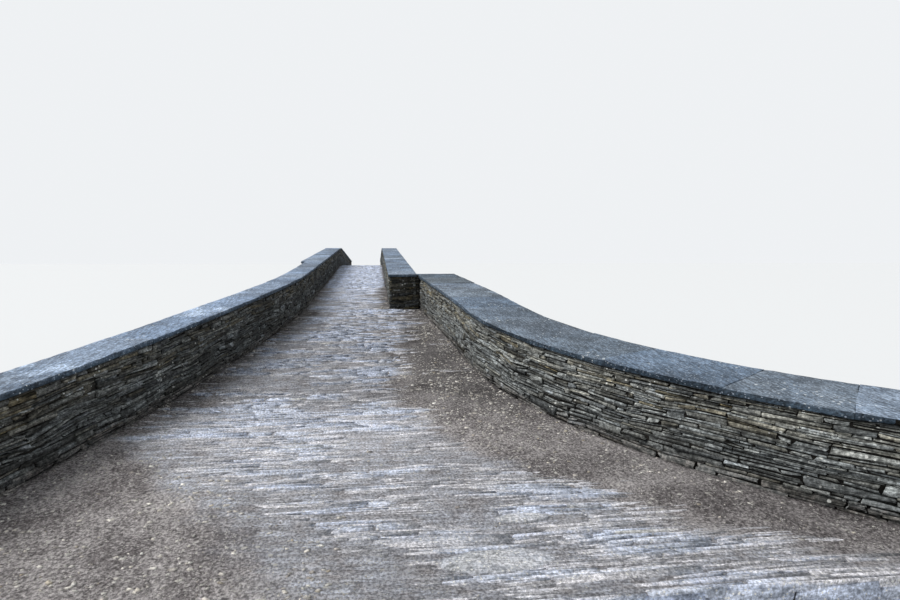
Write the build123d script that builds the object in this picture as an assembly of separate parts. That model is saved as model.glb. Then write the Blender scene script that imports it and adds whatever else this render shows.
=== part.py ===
from build123d import *
from math import atan, cos, pi, radians, sin
import os

# Hump-backed stone arch bridge in slate masonry, in millimetres.
# X runs along the road and Z is up. The origin is on the river bed, in the middle of the plan.
# Near is towards -X and far towards +X; left is +Y and right is -Y.
# The plan looks the same after half a turn, while the crest stands a little beyond the middle.

# Road
crest_x = 950
crest_slope = 0.056
crest_radius = 15000
bank_run = 7500
bank_slope = 0.081
bank_radius = 100000
roadway_width = 1520
paving_depth = 160
mouth_lip = 60

# Arches
springing_level = 800
main_span = 5000
side_span = 3400
pier_thickness = 1100
abutment_length = 1200
main_ring_depth = 420
side_ring_depth = 360
ring_projection = 30
crown_cover = 100
voussoir_width = 175
voussoir_joint = 8

# Cutwaters
cutwater_projection = 1150
cutwater_height = 1900
cutwater_cap_rise = 560
cutwater_cap_edge = 70
cutwater_cap_overhang = 45

# Parapets
parapet_thickness = 500
long_wall_thickness = 380
parapet_height = 640
coping_thickness = 45
coping_overhang = 20
coping_joint = 8
coping_slab_lengths = (820, 980, 700, 1120, 880, 760, 1040)

# Long wall, from the crest to the mouth on one side
long_bend_run = 2220
long_bend_radius = 33000
long_bend_angle = 14.2
long_mouth_radius = 5000
long_mouth_angle = 12.6

# Stepped wall and the wing wall beside its butt end
butt_run = 2890
wing_overlap = 300
wing_thickness = 700
wing_height = 625
wing_clearance = 2
wing_lead_angle = 3.3
wing_lead_length = 4830
wing_bend_radius = 5500
wing_bend_angle = 45.5
wing_mouth_radius = 2000
wing_mouth_angle = 28.0

# Sizes that follow from the ones above
road_half = roadway_width / 2
wall_outer = road_half + parapet_thickness
crest_level = springing_level + main_span / 2 + main_ring_depth + crown_cover + paving_depth
pier_offset = (main_span + pier_thickness) / 2
side_offset = main_span / 2 + pier_thickness + side_span / 2
arch_zone_half = side_offset + side_span / 2 + abutment_length
bank_distance = arch_zone_half + bank_run
long_bend_start = arch_zone_half + long_bend_run
butt_x = arch_zone_half + butt_run
wing_start_x = butt_x - wing_overlap
wing_start_y = wall_outer + 2 * coping_overhang + wing_clearance
near_abutment_x = crest_x - arch_zone_half
far_abutment_x = crest_x + arch_zone_half
headroom = 2 * crest_level
tolerance = 0.01


class WallLine:
    """Plan line of a wall's road face on the -Y side, from start towards -X and then curving away."""

    def __init__(self, start_x, start_y, lead_angle, lead_length, bends):
        self.start = (start_x, start_y)
        self.lead_angle = radians(lead_angle)
        self.lead_length = lead_length
        self.bends = [(radius, radians(turn)) for radius, turn in bends]
        self.length = lead_length + sum(radius * turn for radius, turn in self.bends)

    def at(self, s, offset=0):
        """Point at length s along the road face, moved outwards from the road by offset."""
        x, y = self.start
        angle = self.lead_angle
        run = min(s, self.lead_length)
        x -= run * cos(angle)
        y -= run * sin(angle)
        left = s - run
        for radius, turn in self.bends:
            swing = min(left / radius, turn)
            if swing <= 0:
                break
            x -= radius * (sin(angle + swing) - sin(angle))
            y -= radius * (cos(angle) - cos(angle + swing))
            angle += swing
            left -= radius * swing
        return (x + offset * sin(angle), y - offset * cos(angle))

    def edges(self, s0, s1, offset=0):
        """Line and arcs of the wall face between two lengths, at an outward offset."""
        stops = [self.lead_length]
        for radius, turn in self.bends:
            stops.append(stops[-1] + radius * turn)
        cuts = [s0] + [stop for stop in stops if s0 + tolerance < stop < s1 - tolerance] + [s1]
        edges = []
        for a, b in zip(cuts, cuts[1:]):
            if b <= self.lead_length + tolerance:
                edges.append(Line(self.at(a, offset), self.at(b, offset)))
            else:
                middle = self.at((a + b) / 2, offset)
                edges.append(ThreePointArc(self.at(a, offset), middle, self.at(b, offset)))
        return edges

    def strip(self, s0, s1, inner, outer):
        """Footprint between two lengths and two outward offsets."""
        sides = self.edges(s0, s1, inner) + self.edges(s0, s1, outer)
        ends = [Line(self.at(s, inner), self.at(s, outer)) for s in (s0, s1)]
        return make_face(sides + ends)


long_line = WallLine(
    0, -road_half, 0, long_bend_start,
    [(long_bend_radius, long_bend_angle), (long_mouth_radius, long_mouth_angle)],
)
butt_line = WallLine(0, -road_half, 0, butt_x + coping_overhang, [])
wing_line = WallLine(
    -wing_start_x, -wing_start_y, wing_lead_angle, wing_lead_length,
    [(wing_bend_radius, wing_bend_angle), (wing_mouth_radius, wing_mouth_angle)],
)
mouth_x = mouth_lip + max(-wing_line.at(wing_line.length)[0], -long_line.at(long_line.length)[0])


def across(shape):
    """The same plan shape on the other side of the road."""
    return mirror(shape, about=Plane.XZ)


def turned(shape):
    """The plan shape of the other half of the bridge, by half a turn about the middle."""
    return Rotation(0, 0, 180) * shape


def road_line(rise):
    """Side view of the paving's top, moved up by rise: two slopes each side of a rounded crest."""
    rounding = crest_radius * (1 / cos(atan(crest_slope)) - 1)
    apex = crest_level + rounding + rise
    bank = apex - crest_slope * bank_distance
    end_run = mouth_x + roadway_width
    near_drop = bank_slope * (end_run + crest_x - bank_distance)
    far_drop = bank_slope * (end_run - crest_x - bank_distance)
    points = [
        (-end_run, bank - near_drop),
        (crest_x - bank_distance, bank),
        (crest_x, apex),
        (crest_x + bank_distance, bank),
        (end_run, bank - far_drop),
    ]
    return FilletPolyline(*points, radius=[bank_radius, crest_radius, bank_radius])


def layer(low_rise, high_rise):
    """Everything between the road line moved by low_rise and by high_rise."""
    low = road_line(low_rise)
    high = road_line(high_rise)
    ends = [Line(low @ 0, high @ 0), Line(low @ 1, high @ 1)]
    side_view = make_face([*low.edges(), *high.edges(), *ends])
    return extrude(Plane.XZ * side_view, amount=mouth_x, both=True)


def below(high_rise, level=0):
    """Everything between a level and the road line moved by high_rise."""
    high = road_line(high_rise)
    start = high @ 0
    end = high @ 1
    sides = [Line(start, (start.X, level)), Line((start.X, level), (end.X, level)), Line((end.X, level), end)]
    side_view = make_face([*high.edges(), *sides])
    return extrude(Plane.XZ * side_view, amount=mouth_x, both=True)


def raise_to(footprint, body):
    """The footprint's masonry, from the bed to above the parapets, cut to the body's levels."""
    return extrude(footprint, amount=headroom) & body


def block(x0, x1, y0, y1, z0, z1):
    """Plain block between two corners."""
    place = Pos((x0 + x1) / 2, (y0 + y1) / 2, (z0 + z1) / 2)
    return place * Box(abs(x1 - x0), abs(y1 - y0), z1 - z0)


def joint_points(radius, count):
    """Side view of an arch's joints: points at even angles on a half circle, springing to springing."""
    angles = [pi * i / count for i in range(count + 1)]
    return [(radius * cos(angle), radius * sin(angle)) for angle in angles]


def voussoir_count(span):
    """Stones in one arch, always odd so that a keystone closes it."""
    return 2 * round((pi * span / 2 / voussoir_width - 1) / 2) + 1


def across_arch(x, side_view, half_width):
    """A side view with its centre on the springing line, carried across the bridge."""
    profile = Pos(x, 0, springing_level) * (Plane.XZ * side_view)
    return extrude(profile, amount=half_width, both=True)


def arch_hollow(x, span, depth):
    """Everything under the back of one arch's stones, which the masonry above is built against."""
    points = joint_points(span / 2 + depth, voussoir_count(span))
    return across_arch(x, make_face(Polyline(*points, close=True)), wall_outer + ring_projection)


def part_way(start, end, distance):
    """Point on the way from start to end, at a distance from start."""
    way = Vector(*end) - Vector(*start)
    return Vector(*start) + way * (distance / way.length)


def arch_ring(x, span, depth):
    """One arch's vault: wedge stones with open joints, proud of the spandrels on both faces."""
    count = voussoir_count(span)
    inner = joint_points(span / 2, count)
    outer = joint_points(span / 2 + depth, count)
    stones = []
    for i in range(count):
        before = 0 if i == 0 else voussoir_joint / 2
        after = 0 if i == count - 1 else voussoir_joint / 2
        corners = [
            part_way(inner[i], inner[i + 1], before),
            part_way(inner[i + 1], inner[i], after),
            part_way(outer[i + 1], outer[i], after),
            part_way(outer[i], outer[i + 1], before),
        ]
        wedge = make_face(Polyline(*corners, close=True))
        stones.append(across_arch(x, wedge, wall_outer + ring_projection).solid())
    return Compound(children=stones)


def arch_masonry(x0, x1, y0, y1, hollow):
    """Masonry over one arch between two stations, from the springing to the paving's bed."""
    body = block(x0, x1, y0, y1, springing_level, headroom) & below(-paving_depth)
    return body - hollow


def cutwater(x, side, hollows):
    """Pointed cutwater against a pier, under a cap that slopes up to the spandrel."""
    def plan(margin):
        half = pier_thickness / 2 + margin
        nose = side * (wall_outer + cutwater_projection + margin)
        corners = [(x - half, side * wall_outer), (x + half, side * wall_outer), (x, nose)]
        return make_face(Polyline(*corners, close=True))

    body = extrude(plan(0), amount=cutwater_height)
    cap_plan = Pos(0, 0, cutwater_height) * plan(cutwater_cap_overhang)
    cap_edge = extrude(cap_plan, amount=cutwater_cap_edge)
    cap_base = Pos(0, 0, cutwater_cap_edge) * cap_plan
    peak = Vertex(x, side * wall_outer, cutwater_height + cutwater_cap_edge + cutwater_cap_rise)
    cap = loft([cap_base.face(), peak])
    shape = body + cap_edge + cap
    for hollow in hollows:
        shape = shape - hollow
    return shape


def coping_slabs(line, s0, s1, thickness, height, place):
    """Row of slabs along a wall, each its own piece, with open joints between them."""
    slabs = []
    total = s1 - s0
    average = sum(coping_slab_lengths) / len(coping_slab_lengths)
    count = max(1, round(total / average))
    shares = [coping_slab_lengths[i % len(coping_slab_lengths)] for i in range(count)]
    scale = total / sum(shares)
    body = layer(height - coping_thickness, height)
    start = s0
    for share in shares:
        end = start + share * scale
        foot = line.strip(
            start + coping_joint / 2, end - coping_joint / 2, -coping_overhang, thickness + coping_overhang
        )
        slabs.append(raise_to(place(foot), body).solid())
        start = end
    return slabs


def ramp_footprint(abutment_x):
    """Plan of the road between the walls, from the arches out to the mouth of the near half."""
    wing_meets_butt = (butt_x - wing_start_x) / cos(radians(wing_lead_angle))
    wing_end = wing_line.at(wing_line.length)
    long_x, long_y = long_line.at(long_line.length)
    butt = (-butt_x, -road_half)
    sides = [
        Line((-abutment_x, -road_half), butt),
        Line(butt, wing_line.at(wing_meets_butt)),
        *wing_line.edges(wing_meets_butt, wing_line.length),
        Polyline(wing_end, (-mouth_x, wing_end[1]), (-mouth_x, -long_y), (long_x, -long_y)),
        Line((-abutment_x, road_half), (-abutment_x, -road_half)),
    ]
    long_side = [across(edge) for edge in long_line.edges(abutment_x, long_line.length)]
    return make_face([edge for side in sides + long_side for edge in side.edges()])


def wing_footprint():
    """Plan of the wing wall, with the wedge that closes it against the stepped wall."""
    wing_meets_butt = (butt_x - wing_start_x) / cos(radians(wing_lead_angle))
    wedge = make_face(Polyline(
        (-wing_start_x, -wall_outer), wing_line.at(0), wing_line.at(wing_meets_butt),
        (-butt_x, -wall_outer), close=True,
    ))
    return wing_line.strip(0, wing_line.length, 0, wing_thickness) + wedge


def same(shape):
    """The shape where it is."""
    return shape


def turned_across(shape):
    """The plan shape on the other side of the other half."""
    return turned(across(shape))


def build_arches():
    """Vaults, piers, cutwaters, abutments and the masonry over the arches."""
    near_pier_x = crest_x - pier_offset
    far_pier_x = crest_x + pier_offset
    stations = {
        "near": (near_abutment_x, near_pier_x, crest_x - side_offset, side_span, side_ring_depth),
        "main": (near_pier_x, far_pier_x, crest_x, main_span, main_ring_depth),
        "far": (far_pier_x, far_abutment_x, crest_x + side_offset, side_span, side_ring_depth),
    }
    nodes = {}
    hollows = []
    for name, (x0, x1, arch_x, span, depth) in stations.items():
        hollow = arch_hollow(arch_x, span, depth)
        nodes[f"{name}_arch_ring"] = arch_ring(arch_x, span, depth)
        nodes[f"{name}_left_spandrel"] = arch_masonry(x0, x1, road_half, wall_outer, hollow)
        nodes[f"{name}_right_spandrel"] = arch_masonry(x0, x1, -wall_outer, -road_half, hollow)
        nodes[f"{name}_arch_backing"] = arch_masonry(x0, x1, -road_half, road_half, hollow)
        hollows.append(hollow)
    for name, sign in (("near", -1), ("far", 1)):
        pier_x = crest_x + sign * pier_offset
        half = pier_thickness / 2
        nodes[f"{name}_pier"] = block(
            pier_x - half, pier_x + half, -wall_outer, wall_outer, 0, springing_level
        )
        outer_x = crest_x + sign * arch_zone_half
        ring_half = wall_outer + ring_projection
        nodes[f"{name}_abutment"] = block(
            outer_x, outer_x - sign * abutment_length, -ring_half, ring_half, 0, springing_level
        )
        for side_name, side in (("left", 1), ("right", -1)):
            nodes[f"{name}_{side_name}_cutwater"] = cutwater(pier_x, side, hollows)
    return nodes


def build_ramps():
    """Walls, cores and paving of the two ramps, and the paving over the arches."""
    nodes = {}
    walls = below(-paving_depth)
    paving = layer(-paving_depth, 0)
    for name, abutment_x, long_side, butt_side in (
        ("near", -near_abutment_x, "left", "right"),
        ("far", far_abutment_x, "right", "left"),
    ):
        place = same if name == "near" else turned
        long_foot = long_line.strip(abutment_x, long_line.length, 0, long_wall_thickness)
        butt_foot = butt_line.strip(abutment_x, butt_x, 0, parapet_thickness)
        ramp_foot = ramp_footprint(abutment_x)
        nodes[f"{name}_{long_side}_ramp_wall"] = raise_to(place(across(long_foot)), walls)
        nodes[f"{name}_{butt_side}_ramp_wall"] = raise_to(place(butt_foot), walls)
        nodes[f"{name}_{butt_side}_wing_wall"] = raise_to(place(wing_footprint()), walls)
        nodes[f"{name}_ramp_core"] = raise_to(place(ramp_foot), walls)
        nodes[f"{name}_ramp_paving"] = raise_to(place(ramp_foot), paving)
    nodes["crest_paving"] = block(
        near_abutment_x, far_abutment_x, -road_half, road_half, springing_level, headroom
    ) & paving
    return nodes


def build_parapets():
    """Parapets and copings: long walls that thin past the abutment, stepped walls and wing walls."""
    nodes = {}
    parapet = layer(-paving_depth, parapet_height - coping_thickness)
    wing = layer(-paving_depth, wing_height - coping_thickness)
    for name, crest_s, abutment_s, long_side, butt_side in (
        ("near", -crest_x, -near_abutment_x, "left", "right"),
        ("far", crest_x, far_abutment_x, "right", "left"),
    ):
        place = same if name == "near" else turned
        place_long = across if name == "near" else turned_across
        arch_foot = long_line.strip(crest_s, abutment_s, 0, parapet_thickness)
        long_foot = arch_foot + long_line.strip(abutment_s, long_line.length, 0, long_wall_thickness)
        butt_foot = butt_line.strip(crest_s, butt_x, 0, parapet_thickness)
        nodes[f"{name}_{long_side}_parapet"] = raise_to(place_long(long_foot), parapet)
        nodes[f"{name}_{butt_side}_parapet"] = raise_to(place(butt_foot), parapet)
        nodes[f"{name}_{butt_side}_wing_parapet"] = raise_to(place(wing_footprint()), wing)
        step_s = abutment_s + coping_overhang
        nodes[f"{name}_{long_side}_coping"] = Compound(children=[
            *coping_slabs(long_line, crest_s, step_s, parapet_thickness, parapet_height, place_long),
            *coping_slabs(
                long_line, step_s, long_line.length, long_wall_thickness, parapet_height, place_long
            ),
        ])
        nodes[f"{name}_{butt_side}_coping"] = Compound(children=coping_slabs(
            butt_line, crest_s, butt_x + coping_overhang, parapet_thickness, parapet_height, place
        ))
        nodes[f"{name}_{butt_side}_wing_coping"] = Compound(children=coping_slabs(
            wing_line, -coping_overhang, wing_line.length, wing_thickness, wing_height, place
        ))
    return nodes


os.makedirs("parts", exist_ok=True)
bridge = {**build_arches(), **build_ramps(), **build_parapets()}
for node, shape in bridge.items():
    export_step(shape, f"parts/{node}.step")
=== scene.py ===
from math import cos, pi, radians, sin
import bpy
import numpy as np
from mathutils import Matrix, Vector


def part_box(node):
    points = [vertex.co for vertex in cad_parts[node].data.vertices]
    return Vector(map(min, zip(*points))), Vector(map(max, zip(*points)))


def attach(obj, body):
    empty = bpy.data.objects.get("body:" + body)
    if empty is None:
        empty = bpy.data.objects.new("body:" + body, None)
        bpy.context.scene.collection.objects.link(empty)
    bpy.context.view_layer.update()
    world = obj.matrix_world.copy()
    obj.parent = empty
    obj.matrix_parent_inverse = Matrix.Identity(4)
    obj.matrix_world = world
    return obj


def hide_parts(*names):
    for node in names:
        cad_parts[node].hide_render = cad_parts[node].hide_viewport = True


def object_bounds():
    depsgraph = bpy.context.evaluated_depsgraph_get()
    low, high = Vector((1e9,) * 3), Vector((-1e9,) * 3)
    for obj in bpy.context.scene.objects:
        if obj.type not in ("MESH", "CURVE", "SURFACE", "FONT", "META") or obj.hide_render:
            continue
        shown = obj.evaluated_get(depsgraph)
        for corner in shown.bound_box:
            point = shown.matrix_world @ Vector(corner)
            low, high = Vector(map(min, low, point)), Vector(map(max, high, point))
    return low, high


# Finish of a hump-backed slate bridge, in metres: +X runs along the road to the far end, +Y is left

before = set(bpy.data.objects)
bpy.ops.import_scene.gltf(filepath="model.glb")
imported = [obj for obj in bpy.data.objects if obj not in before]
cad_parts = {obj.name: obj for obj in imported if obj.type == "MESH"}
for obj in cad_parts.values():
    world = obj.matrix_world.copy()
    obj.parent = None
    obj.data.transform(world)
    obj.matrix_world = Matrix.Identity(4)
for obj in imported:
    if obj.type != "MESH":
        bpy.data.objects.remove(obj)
cad_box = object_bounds()

# Road and arches
crest_x = 0.95
crest_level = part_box("crest_paving")[1].z
mouth_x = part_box("far_ramp_paving")[1].x
crest_slope = 0.056
crest_radius = 15.0
bank_slope = 0.081
bank_radius = 100.0
paving_depth = 0.16
springing = 0.8
main_span = 5.0
side_span = 3.4
pier_thickness = 1.1
abutment_length = 1.2
main_ring_depth = 0.42
side_ring_depth = 0.36
ring_projection = 0.03
voussoir_width = 0.175
road_half = 0.76

# Cutwaters
cutwater_projection = 1.15
cutwater_height = 1.9
cutwater_cap_edge = 0.07
cutwater_cap_rise = 0.56
cutwater_cap_overhang = 0.045

# Parapets and copings
parapet_thickness = 0.5
long_wall_thickness = 0.38
parapet_height = 0.64
wing_thickness = 0.7
wing_height = 0.625
coping_thickness = 0.045
coping_overhang = 0.02
coping_slab_lengths = (0.82, 0.98, 0.70, 1.12, 0.88, 0.76, 1.04)
butt_run = 2.89
bank_run = 7.5
wing_overlap = 0.3
wing_clearance = 0.002
wedge_width = 0.057
wing_lead_angle = 3.3
wing_lead_length = 4.83
long_bend_run = 2.22

# Bends of the walls' lines, each with its radius and the angle it turns
long_bends = [(33.0, 14.2), (5.0, 12.6)]
wing_bends = [(5.5, 45.5), (2.0, 28.0)]

# Masonry
core_inset = 0.026
core_drop = 0.014
stone_back = 0.05
back_corners = 4
shortest_stone = 0.03
thinnest_stone = 0.010
bedding = 0.004
bulge = 0.004
bulge_length = 0.8
edge_chip = 0.006
slate_gloss = 0.3

# Sizes that follow from the ones above
wall_outer = road_half + parapet_thickness
ring_face = wall_outer + ring_projection
pier_offset = (main_span + pier_thickness) / 2
side_offset = main_span / 2 + pier_thickness + side_span / 2
arch_zone_half = side_offset + side_span / 2 + abutment_length
bank_distance = arch_zone_half + bank_run
butt_x = arch_zone_half + butt_run
wing_start_x = butt_x - wing_overlap
wing_start_y = wall_outer + 2 * coping_overhang + wing_clearance
arches = {
    "near": (crest_x - side_offset, side_span, side_ring_depth),
    "main": (crest_x, main_span, main_ring_depth),
    "far": (crest_x + side_offset, side_span, side_ring_depth),
}


def deck(x):
    """Level of the paving at x, for arrays of x.

    The fall from the crest is r squared over twice the crest's radius near it, then the slope times r.
    On the banks the extra slope is added, eased in the same way over the bank's rounding."""
    r = np.abs(np.asarray(x, float) - crest_x)

    def eased(run, slope, radius):
        easing = radius * slope
        run = np.maximum(run, 0)
        return np.where(run < easing, run * run / (2 * radius), slope * (run - easing / 2))

    bank_ease = bank_radius * (bank_slope - crest_slope) / 2
    on_bank = eased(r - bank_distance + bank_ease, bank_slope - crest_slope, bank_radius)
    return crest_level - eased(r, crest_slope, crest_radius) - on_bank


def noise(x, y, size, seed):
    """Smooth noise between -1 and 1: a lattice of random values size apart, blended with a cubic ease."""
    cells = 61
    table = np.random.default_rng(seed).uniform(-1, 1, (cells, cells))
    x = np.asarray(x, float) / size
    y = np.asarray(y, float) / size
    i = np.floor(x).astype(int)
    j = np.floor(y).astype(int)
    a = x - i
    b = y - j
    a = a * a * (3 - 2 * a)
    b = b * b * (3 - 2 * b)

    def value(di, dj):
        return table[(i + di) % cells, (j + dj) % cells]

    low = value(0, 0) * (1 - a) + value(1, 0) * a
    high = value(0, 1) * (1 - a) + value(1, 1) * a
    return low * (1 - b) + high * b


def ease(value, low, high):
    """0 below low, 1 above high, and a smooth step between them."""
    t = np.clip((value - low) / (high - low), 0, 1)
    return t * t * (3 - 2 * t)


class WallLine:
    """Plan line of a wall's road face: a straight lead, then bends that curve it away from the road."""

    def __init__(self, start, lead_angle, lead_length, bends):
        self.start = start
        self.lead_angle = radians(lead_angle)
        self.lead_length = lead_length
        self.bends = [(radius, radians(turn)) for radius, turn in bends]
        self.length = lead_length + sum(radius * turn for radius, turn in self.bends)

    def at(self, s, offset):
        """Points at lengths s along the face and at outward offsets.

        Each leg adds its length along the heading; an arc of radius R that turns by w from heading a
        adds R (sin(a + w) - sin a) along and R (cos a - cos(a + w)) across. Both ends run on straight."""
        s = np.asarray(s, float)
        run = np.minimum(s, self.lead_length)
        heading = np.full_like(s, self.lead_angle)
        x = self.start[0] - run * np.cos(heading)
        y = self.start[1] - run * np.sin(heading)
        left = s - run
        for radius, turn in self.bends:
            swing = np.clip(left / radius, 0, turn)
            x = x - radius * (np.sin(heading + swing) - np.sin(heading))
            y = y - radius * (np.cos(heading) - np.cos(heading + swing))
            heading = heading + swing
            left = np.maximum(left - radius * swing, 0)
        x = x - left * np.cos(heading)
        y = y - left * np.sin(heading)
        return x + offset * np.sin(heading), y - offset * np.cos(heading)


class Wall:
    """A wall on its plan line, placed in one quarter of the bridge by the signs of x and y."""

    def __init__(self, line, x_sign, y_sign, thickness, height):
        self.line = line
        self.x_sign = x_sign
        self.y_sign = y_sign
        self.thickness = thickness
        self.masonry_top = height - coping_thickness
        self.height = height

    def plan(self, s, offset):
        """Points at lengths s and at offsets outwards from the road face."""
        x, y = self.line.at(s, offset)
        return self.x_sign * x, self.y_sign * y


def face_place(wall, face, above_paving, end=0.0):
    """Function that puts (along, up, out) on a wall's road face, outer face, or its end at a length.

    Up is measured from the paving's level or from the bed; on an end, along runs across the wall. The
    face bulges in and out by a slow noise."""
    def place(u, v, d):
        if face == "road":
            x, y = wall.plan(u, -d)
        elif face == "outer":
            x, y = wall.plan(u, wall.thickness + d)
        elif face == "end":
            x, y = wall.plan(end + d, u)
        else:
            x, y = wall.plan(end - d, u)
        return np.stack([x, y, deck(x) + v if above_paving else v + 0 * x], -1)

    def bulging(u, v, d):
        return place(u, v, d - bulge * (1 + noise(u, v, bulge_length, 5)))
    return bulging


long_line = WallLine((0, -road_half), 0, arch_zone_half + long_bend_run, long_bends)
butt_line = WallLine((0, -road_half), 0, butt_x + coping_overhang, [])
wing_line = WallLine((-wing_start_x, -wing_start_y), wing_lead_angle, wing_lead_length, wing_bends)


# Masonry laid in courses

# Thin slates of the road faces, rougher slates of the outer faces, and dressed blocks
thin_slates = dict(
    thickness=0.0185, length=(0.07, 0.48), thick=(0.13, 0.012), swell=0.6, swell_length=0.34,
    grid=(3, 2), bevel=0.003, gap=0.002, ragged=(0.9, 0.34), loose=0.24, front=(-0.015, 0.004),
    tilt=0.012, rough=0.0026,
)
rough_slates = dict(
    thickness=0.062, length=(0.16, 0.95), thick=(0.24, 0.08), swell=0.6, swell_length=0.8,
    grid=(2, 2), bevel=0.007, gap=0.004, ragged=(1.0, 0.40), loose=0.10, front=(-0.014, 0.0),
    tilt=0.010, rough=0.004,
)
dressed_slates = dict(
    thickness=0.135, length=(0.30, 0.85), thick=(0.10, 0.0), swell=0.25, swell_length=1.2,
    grid=(3, 3), bevel=0.012, gap=0.006, ragged=(0.6, 0.40), loose=0.04, front=(-0.014, 0.0),
    tilt=0.006, rough=0.004,
)


def divide(start, end, short, long, rng):
    """Random steps between short and long, more of them short, stretched to fill the way exactly."""
    count = max(1, round((end - start) / (short + 0.4 * (long - short))))
    steps = short + (long - short) * rng.random(count) ** 1.5
    return start + np.concatenate([[0], np.cumsum(steps)]) * (end - start) / steps.sum()


def bed_levels(u, rows, low, high, kind, seed):
    """Levels of all beds at lengths u, one row of levels for each u.

    Each course has its own thickness, times a noise along the wall, so that it swells and thins out.
    The thicknesses are added up and scaled to fill the height."""
    own = np.random.default_rng(seed).uniform(0.55, 1.45, rows)
    course = kind["swell_length"] * np.arange(rows)
    thickness = own * (1 + kind["swell"] * noise(u[:, None], course[None, :], kind["swell_length"], seed))
    total = np.cumsum(thickness, 1)
    return low + (high - low) * np.concatenate([np.zeros((len(u), 1)), total / total[:, -1:]], 1)


def lay_slates(start, end, low, high, kind, seed):
    """Corners of all stones on a face, and the generator that goes on with it.

    Courses between wavy beds are cut at random lengths; some stones fill two or three courses, by the two
    chances that the kind's thick holds, and the courses above are laid round them."""
    rng = np.random.default_rng(seed)
    rows = max(1, round((high - low) / kind["thickness"]))
    taken = [[] for _ in range(rows)]
    laid = []
    for row in range(rows):
        edge = start
        for left, right in sorted(taken[row]) + [(end, end)]:
            if left - edge > shortest_stone:
                cuts = divide(edge, left, *kind["length"], rng)
                for a, b in zip(cuts, cuts[1:]):
                    chance = rng.random()
                    reach = 1 + (chance < sum(kind["thick"])) + (chance < kind["thick"][1])
                    above = range(row + 1, min(row + reach, rows))
                    if any(a < r and b > l for k in above for l, r in taken[k]):
                        above = ()
                    for k in above:
                        taken[k].append((a, b))
                    laid.append((a, b, row, row + 1 + len(above)))
            edge = max(edge, right)
    a, b, bottom, top = np.array(laid).T
    bottom, top = bottom.astype(int), top.astype(int)
    every = np.arange(len(a))
    at_a = bed_levels(a, rows, low, high, kind, seed)
    at_b = bed_levels(b, rows, low, high, kind, seed)
    levels = at_a[every, bottom], at_b[every, bottom], at_b[every, top], at_a[every, top]
    return np.stack([np.stack([a, b, b, a], 1), np.stack(levels, 1)], -1), rng


def stone_faces(nu, nv):
    """Faces of one stone: a front of nu by nv quads, four sides that join its rim to the back, the back."""
    grid = np.arange((nu + 1) * (nv + 1)).reshape(nv + 1, nu + 1)
    back = grid.size + np.arange(back_corners)
    faces = [
        [grid[k, j], grid[k, j + 1], grid[k + 1, j + 1], grid[k + 1, j]] for k in range(nv) for j in range(nu)
    ]
    rims = grid[0, ::-1], grid[::-1, -1], grid[-1, :], grid[:, 0]
    for i, rim in enumerate(rims):
        faces.append([*rim, back[i], back[(i + 1) % back_corners]])
    faces.append([back[0], back[3], back[2], back[1]])
    return faces


def across_steps(size, number, bevel, rng):
    """Where the front's grid lines cross each stone, 0 to 1: rims as wide as the bevel, the rest even."""
    n = len(size)
    if number == 1:
        inner = np.zeros((n, 0))
    elif number == 2:
        inner = 0.5 + rng.uniform(-0.2, 0.2, (n, 1))
    else:
        rim = np.minimum(bevel / size, 0.28)[:, None]
        inner = rim + (1 - 2 * rim) * np.linspace(0, 1, number - 1)[None, :]
    return np.concatenate([np.zeros((n, 1)), inner, np.ones((n, 1))], 1)


def is_mirrored(place, u, v, d):
    """Whether a placing function turns stones inside out, from small steps in its three directions."""
    step = 1e-4
    at = [np.array([value]) for value in (u, v, d)]
    base = place(*at)[0]
    axes = [place(*[p + step * (i == axis) for i, p in enumerate(at)])[0] - base for axis in range(3)]
    return np.linalg.det(np.array(axes)) < 0


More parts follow.
